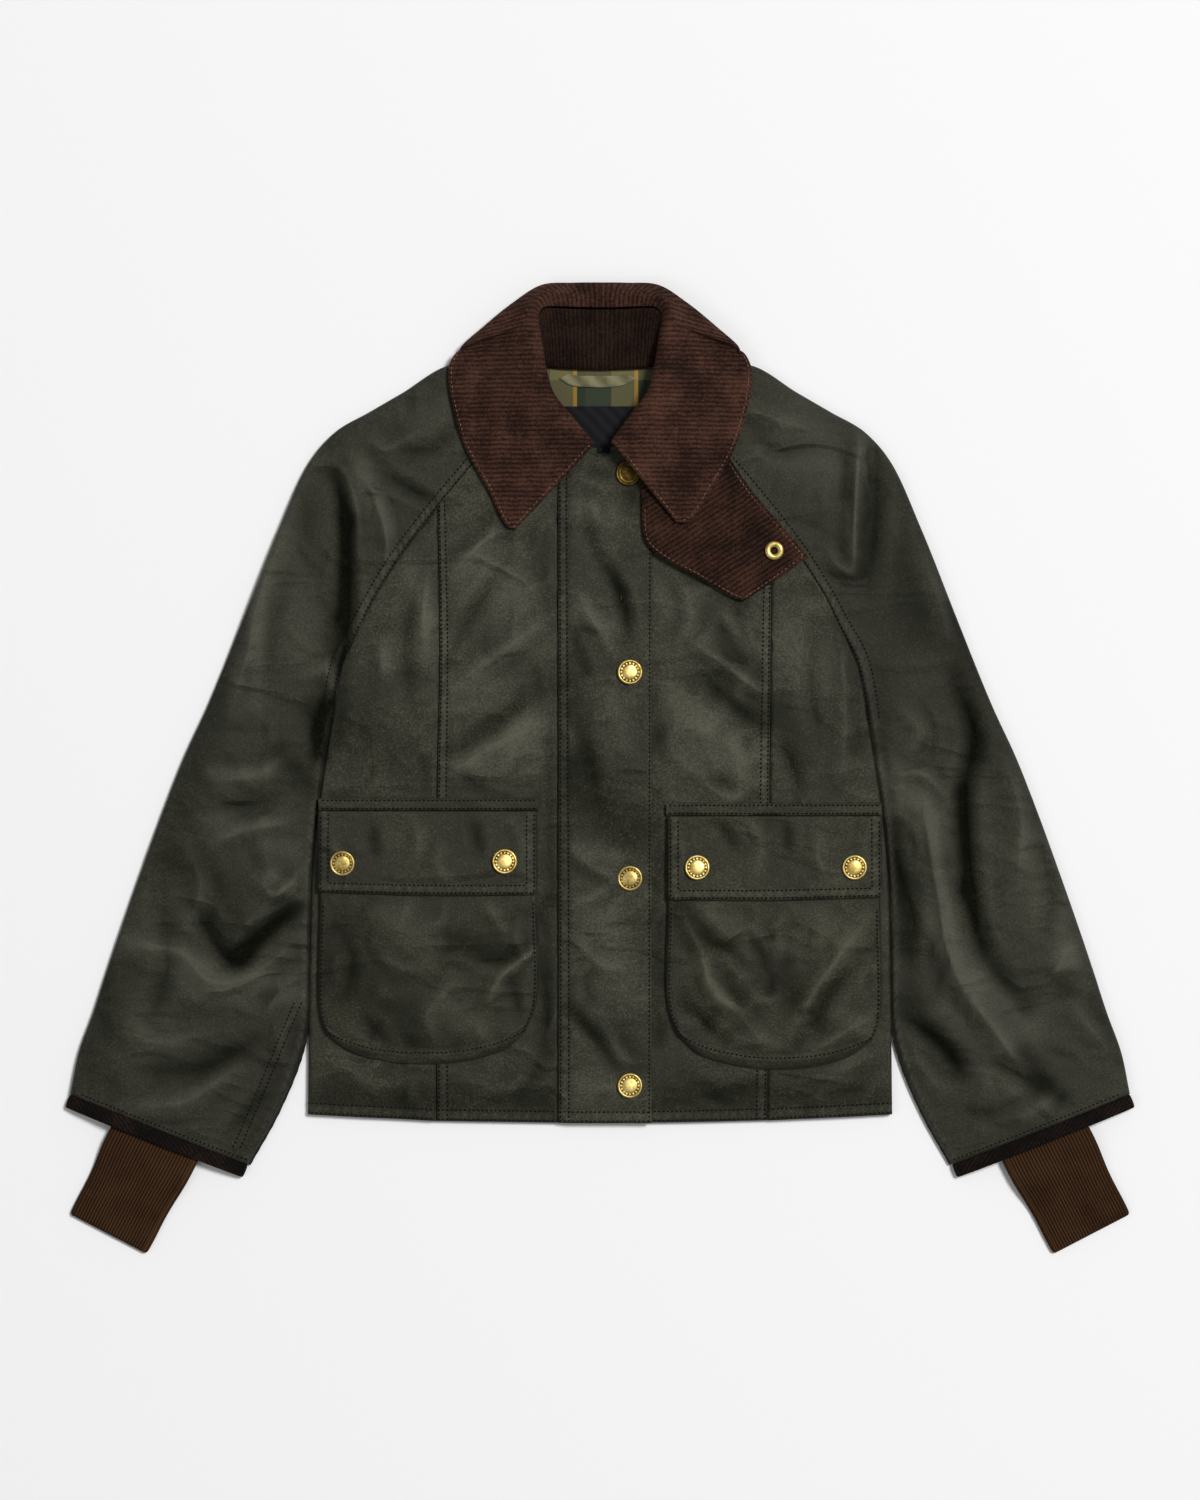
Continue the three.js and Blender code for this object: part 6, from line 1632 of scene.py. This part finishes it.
RING_AT, RING_R, RING_HOLE, RING_H = (130.5, 162.8), 7.1, 2.6, 2.2
ring_profile = [(RING_HOLE, 0), (RING_R * 0.85, 0), (RING_R * 0.97, RING_H * 0.25),
                (RING_R, RING_H * 0.45), (RING_R * 0.95, RING_H * 0.72), (RING_R * 0.8, RING_H * 0.95),
                (RING_R * 0.66, RING_H), (RING_R * 0.55, RING_H * 0.9),
                (RING_HOLE + 0.6, RING_H * 0.75), (RING_HOLE, RING_H * 0.5), (RING_HOLE, 0)]
points, faces = turned(ring_profile, RING_AT, float(tab_height(RING_AT[0])) + AIR)
add_mesh("tab_ring_metal", points, faces, BRASS, replaces=["tab_ring"])
print("snap caps:", len(caps) + 4)

# %% [markdown]
# ## Inside the neck
# Through the collar one sees the lining, a bare woven label, a small tab below it and the tape loop
# that the jacket hangs by.


# %% Lining, label, tab and loop
TRIM_WALL, TRIM_STEP, TRIM_EDGE = 0.9, 2.0, (0.3, 0.8)


def flat_piece(node, left, right, bottom, top, height, material, rests="neck_lining_cloth"):
    flat = pattern(*(smooth(p) for p in (left, right, bottom, top)), shares_for(60, TRIM_STEP, TRIM_EDGE),
                   shares_for(40, TRIM_STEP, TRIM_EDGE))
    grid = roll_edges(with_height(flat, height), "lrbt", drop=0.4, radius=0.6)
    cloth(node, grid, material, TRIM_WALL, rests_on=[rests], whole=True)
    return grid


LINING_Z = SHELL + 0.3 + THIN
ON_LINING = LINING_Z + 0.3 + THIN
flat_piece("neck_lining", *box_marks(-46, 46, 222, 300.5),
           lambda x, y: LINING_Z + 0.15 * np.sin(x / 9) - 0.5 * ease(296, 299, y), LINING, "back_cloth")
label_grid = flat_piece("neck_label", *box_marks(-29, 41, 241, 271.5),
                        lambda x, y: ON_LINING + 0.15 * np.sin(x / 14 + 1) + 0 * y, LABEL)
flat_piece("size_tab", *box_marks(-2, 7, 231, 240.6), lambda x, y: ON_LINING + 0 * x, LABEL)
flat_piece("hanger_loop", [[-31, 292.5], [-24, 296]], [[28, 292.5], [21, 295.5]],
           [[-31, 292.5], [-22, 287.5], [-8, 286], [8, 286], [19, 288], [28, 292.5]],
           [[-24, 296], [-16, 294.6], [-6, 294.4], [6, 294.4], [14, 294.6], [21, 295.5]],
           lambda x, y: ON_LINING + 0.5 * np.cos(math.pi * x / 60), TAPE)
for edge_name in "tb":
    stitch_row(inset_line(label_grid, edge_name, 1.2, 0.02, 0.98), radius=0.2)

# %% Join the stitches
for name, (points, faces, thread) in STITCHES.items():
    add_mesh(name, np.vstack(points), faces, thread)
    print(name, len(points))

# %% [markdown]
# ## Table, light and camera
# The photograph is a plain studio one from straight above, on white. Its shadows are short and
# soft and fall to the lower left, so a large soft lamp hangs high at the upper right, 30 degrees
# from the upright, and a weak one fills from the other side. Satin cloth then shines where it
# leans to the lamp and goes dark where it leans away.

# %% Table
half_table, table_gap = 3.0, 0.0004  # metres; the gap keeps it clear of the cloth
table_mesh = bpy.data.meshes.new("table")
table_corners = [(u * half_table, v * half_table, 0) for u, v in ((-1, -1), (1, -1), (1, 1), (-1, 1))]
table_mesh.from_pydata(table_corners, [], [(0, 1, 2, 3)])
table_look = {"Base Color": colour("#f4f4f4"), "Roughness": 0.9, "Specular IOR Level": 0.1}
table_material, _, _ = new_material("pale table", table_look)
table_mesh.materials.append(table_material)
table = bpy.data.objects.new("table", table_mesh)
table.location.z = -table_gap
bpy.context.scene.collection.objects.link(table)


# %% Lights
def lamp(name, place, size, power):
    """A square soft lamp that faces the jacket, sizes in metres."""
    light = bpy.data.lights.new(name, "AREA")
    light.shape, light.size, light.energy = "SQUARE", size, power
    thing = bpy.data.objects.new(name, light)
    thing.location = place
    thing.rotation_euler = (-Vector(place)).to_track_quat("-Z", "Y").to_euler()
    bpy.context.scene.collection.objects.link(thing)


lamp("key", (4.9, 3.4, 9.9), 3.0, 1105)
lamp("fill", (-6.0, -3.2, 7.2), 4.4, 72)
WORLD_STRENGTH = 0.26
world = bpy.data.worlds.new("studio")
bpy.context.scene.world = world
world.use_nodes = True
world.node_tree.nodes["Background"].inputs["Color"].default_value = colour("#ffffff")
world.node_tree.nodes["Background"].inputs["Strength"].default_value = WORLD_STRENGTH

# %% Camera
MM_PER_PIXEL, PICTURE = 0.75, (1200, 1500)
LENS_MM, SENSOR_MM, MIDDLE_Y_MM = 100.0, 36.0, 13.5
camera_data = bpy.data.cameras.new("camera")
camera_data.lens, camera_data.sensor_width, camera_data.sensor_fit = LENS_MM, SENSOR_MM, "AUTO"
camera = bpy.data.objects.new("camera", camera_data)
distance_m = PICTURE[1] * MM_PER_PIXEL * LENS_MM / SENSOR_MM / 1000
camera.location = (0, MIDDLE_Y_MM / 1000, distance_m + 0.008)
bpy.context.scene.collection.objects.link(camera)
bpy.context.scene.camera = camera
bpy.context.scene.view_settings.view_transform = "Standard"  # shows each hex colour as it is noted
print("camera height: %.3f m" % camera.location.z)

# %% Sizes of the dressed jacket, and the end
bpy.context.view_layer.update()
faces_in_all = sum(len(p.data.polygons) for p in PIECES.values())
print("pieces:", len(PIECES), "faces:", faces_in_all)
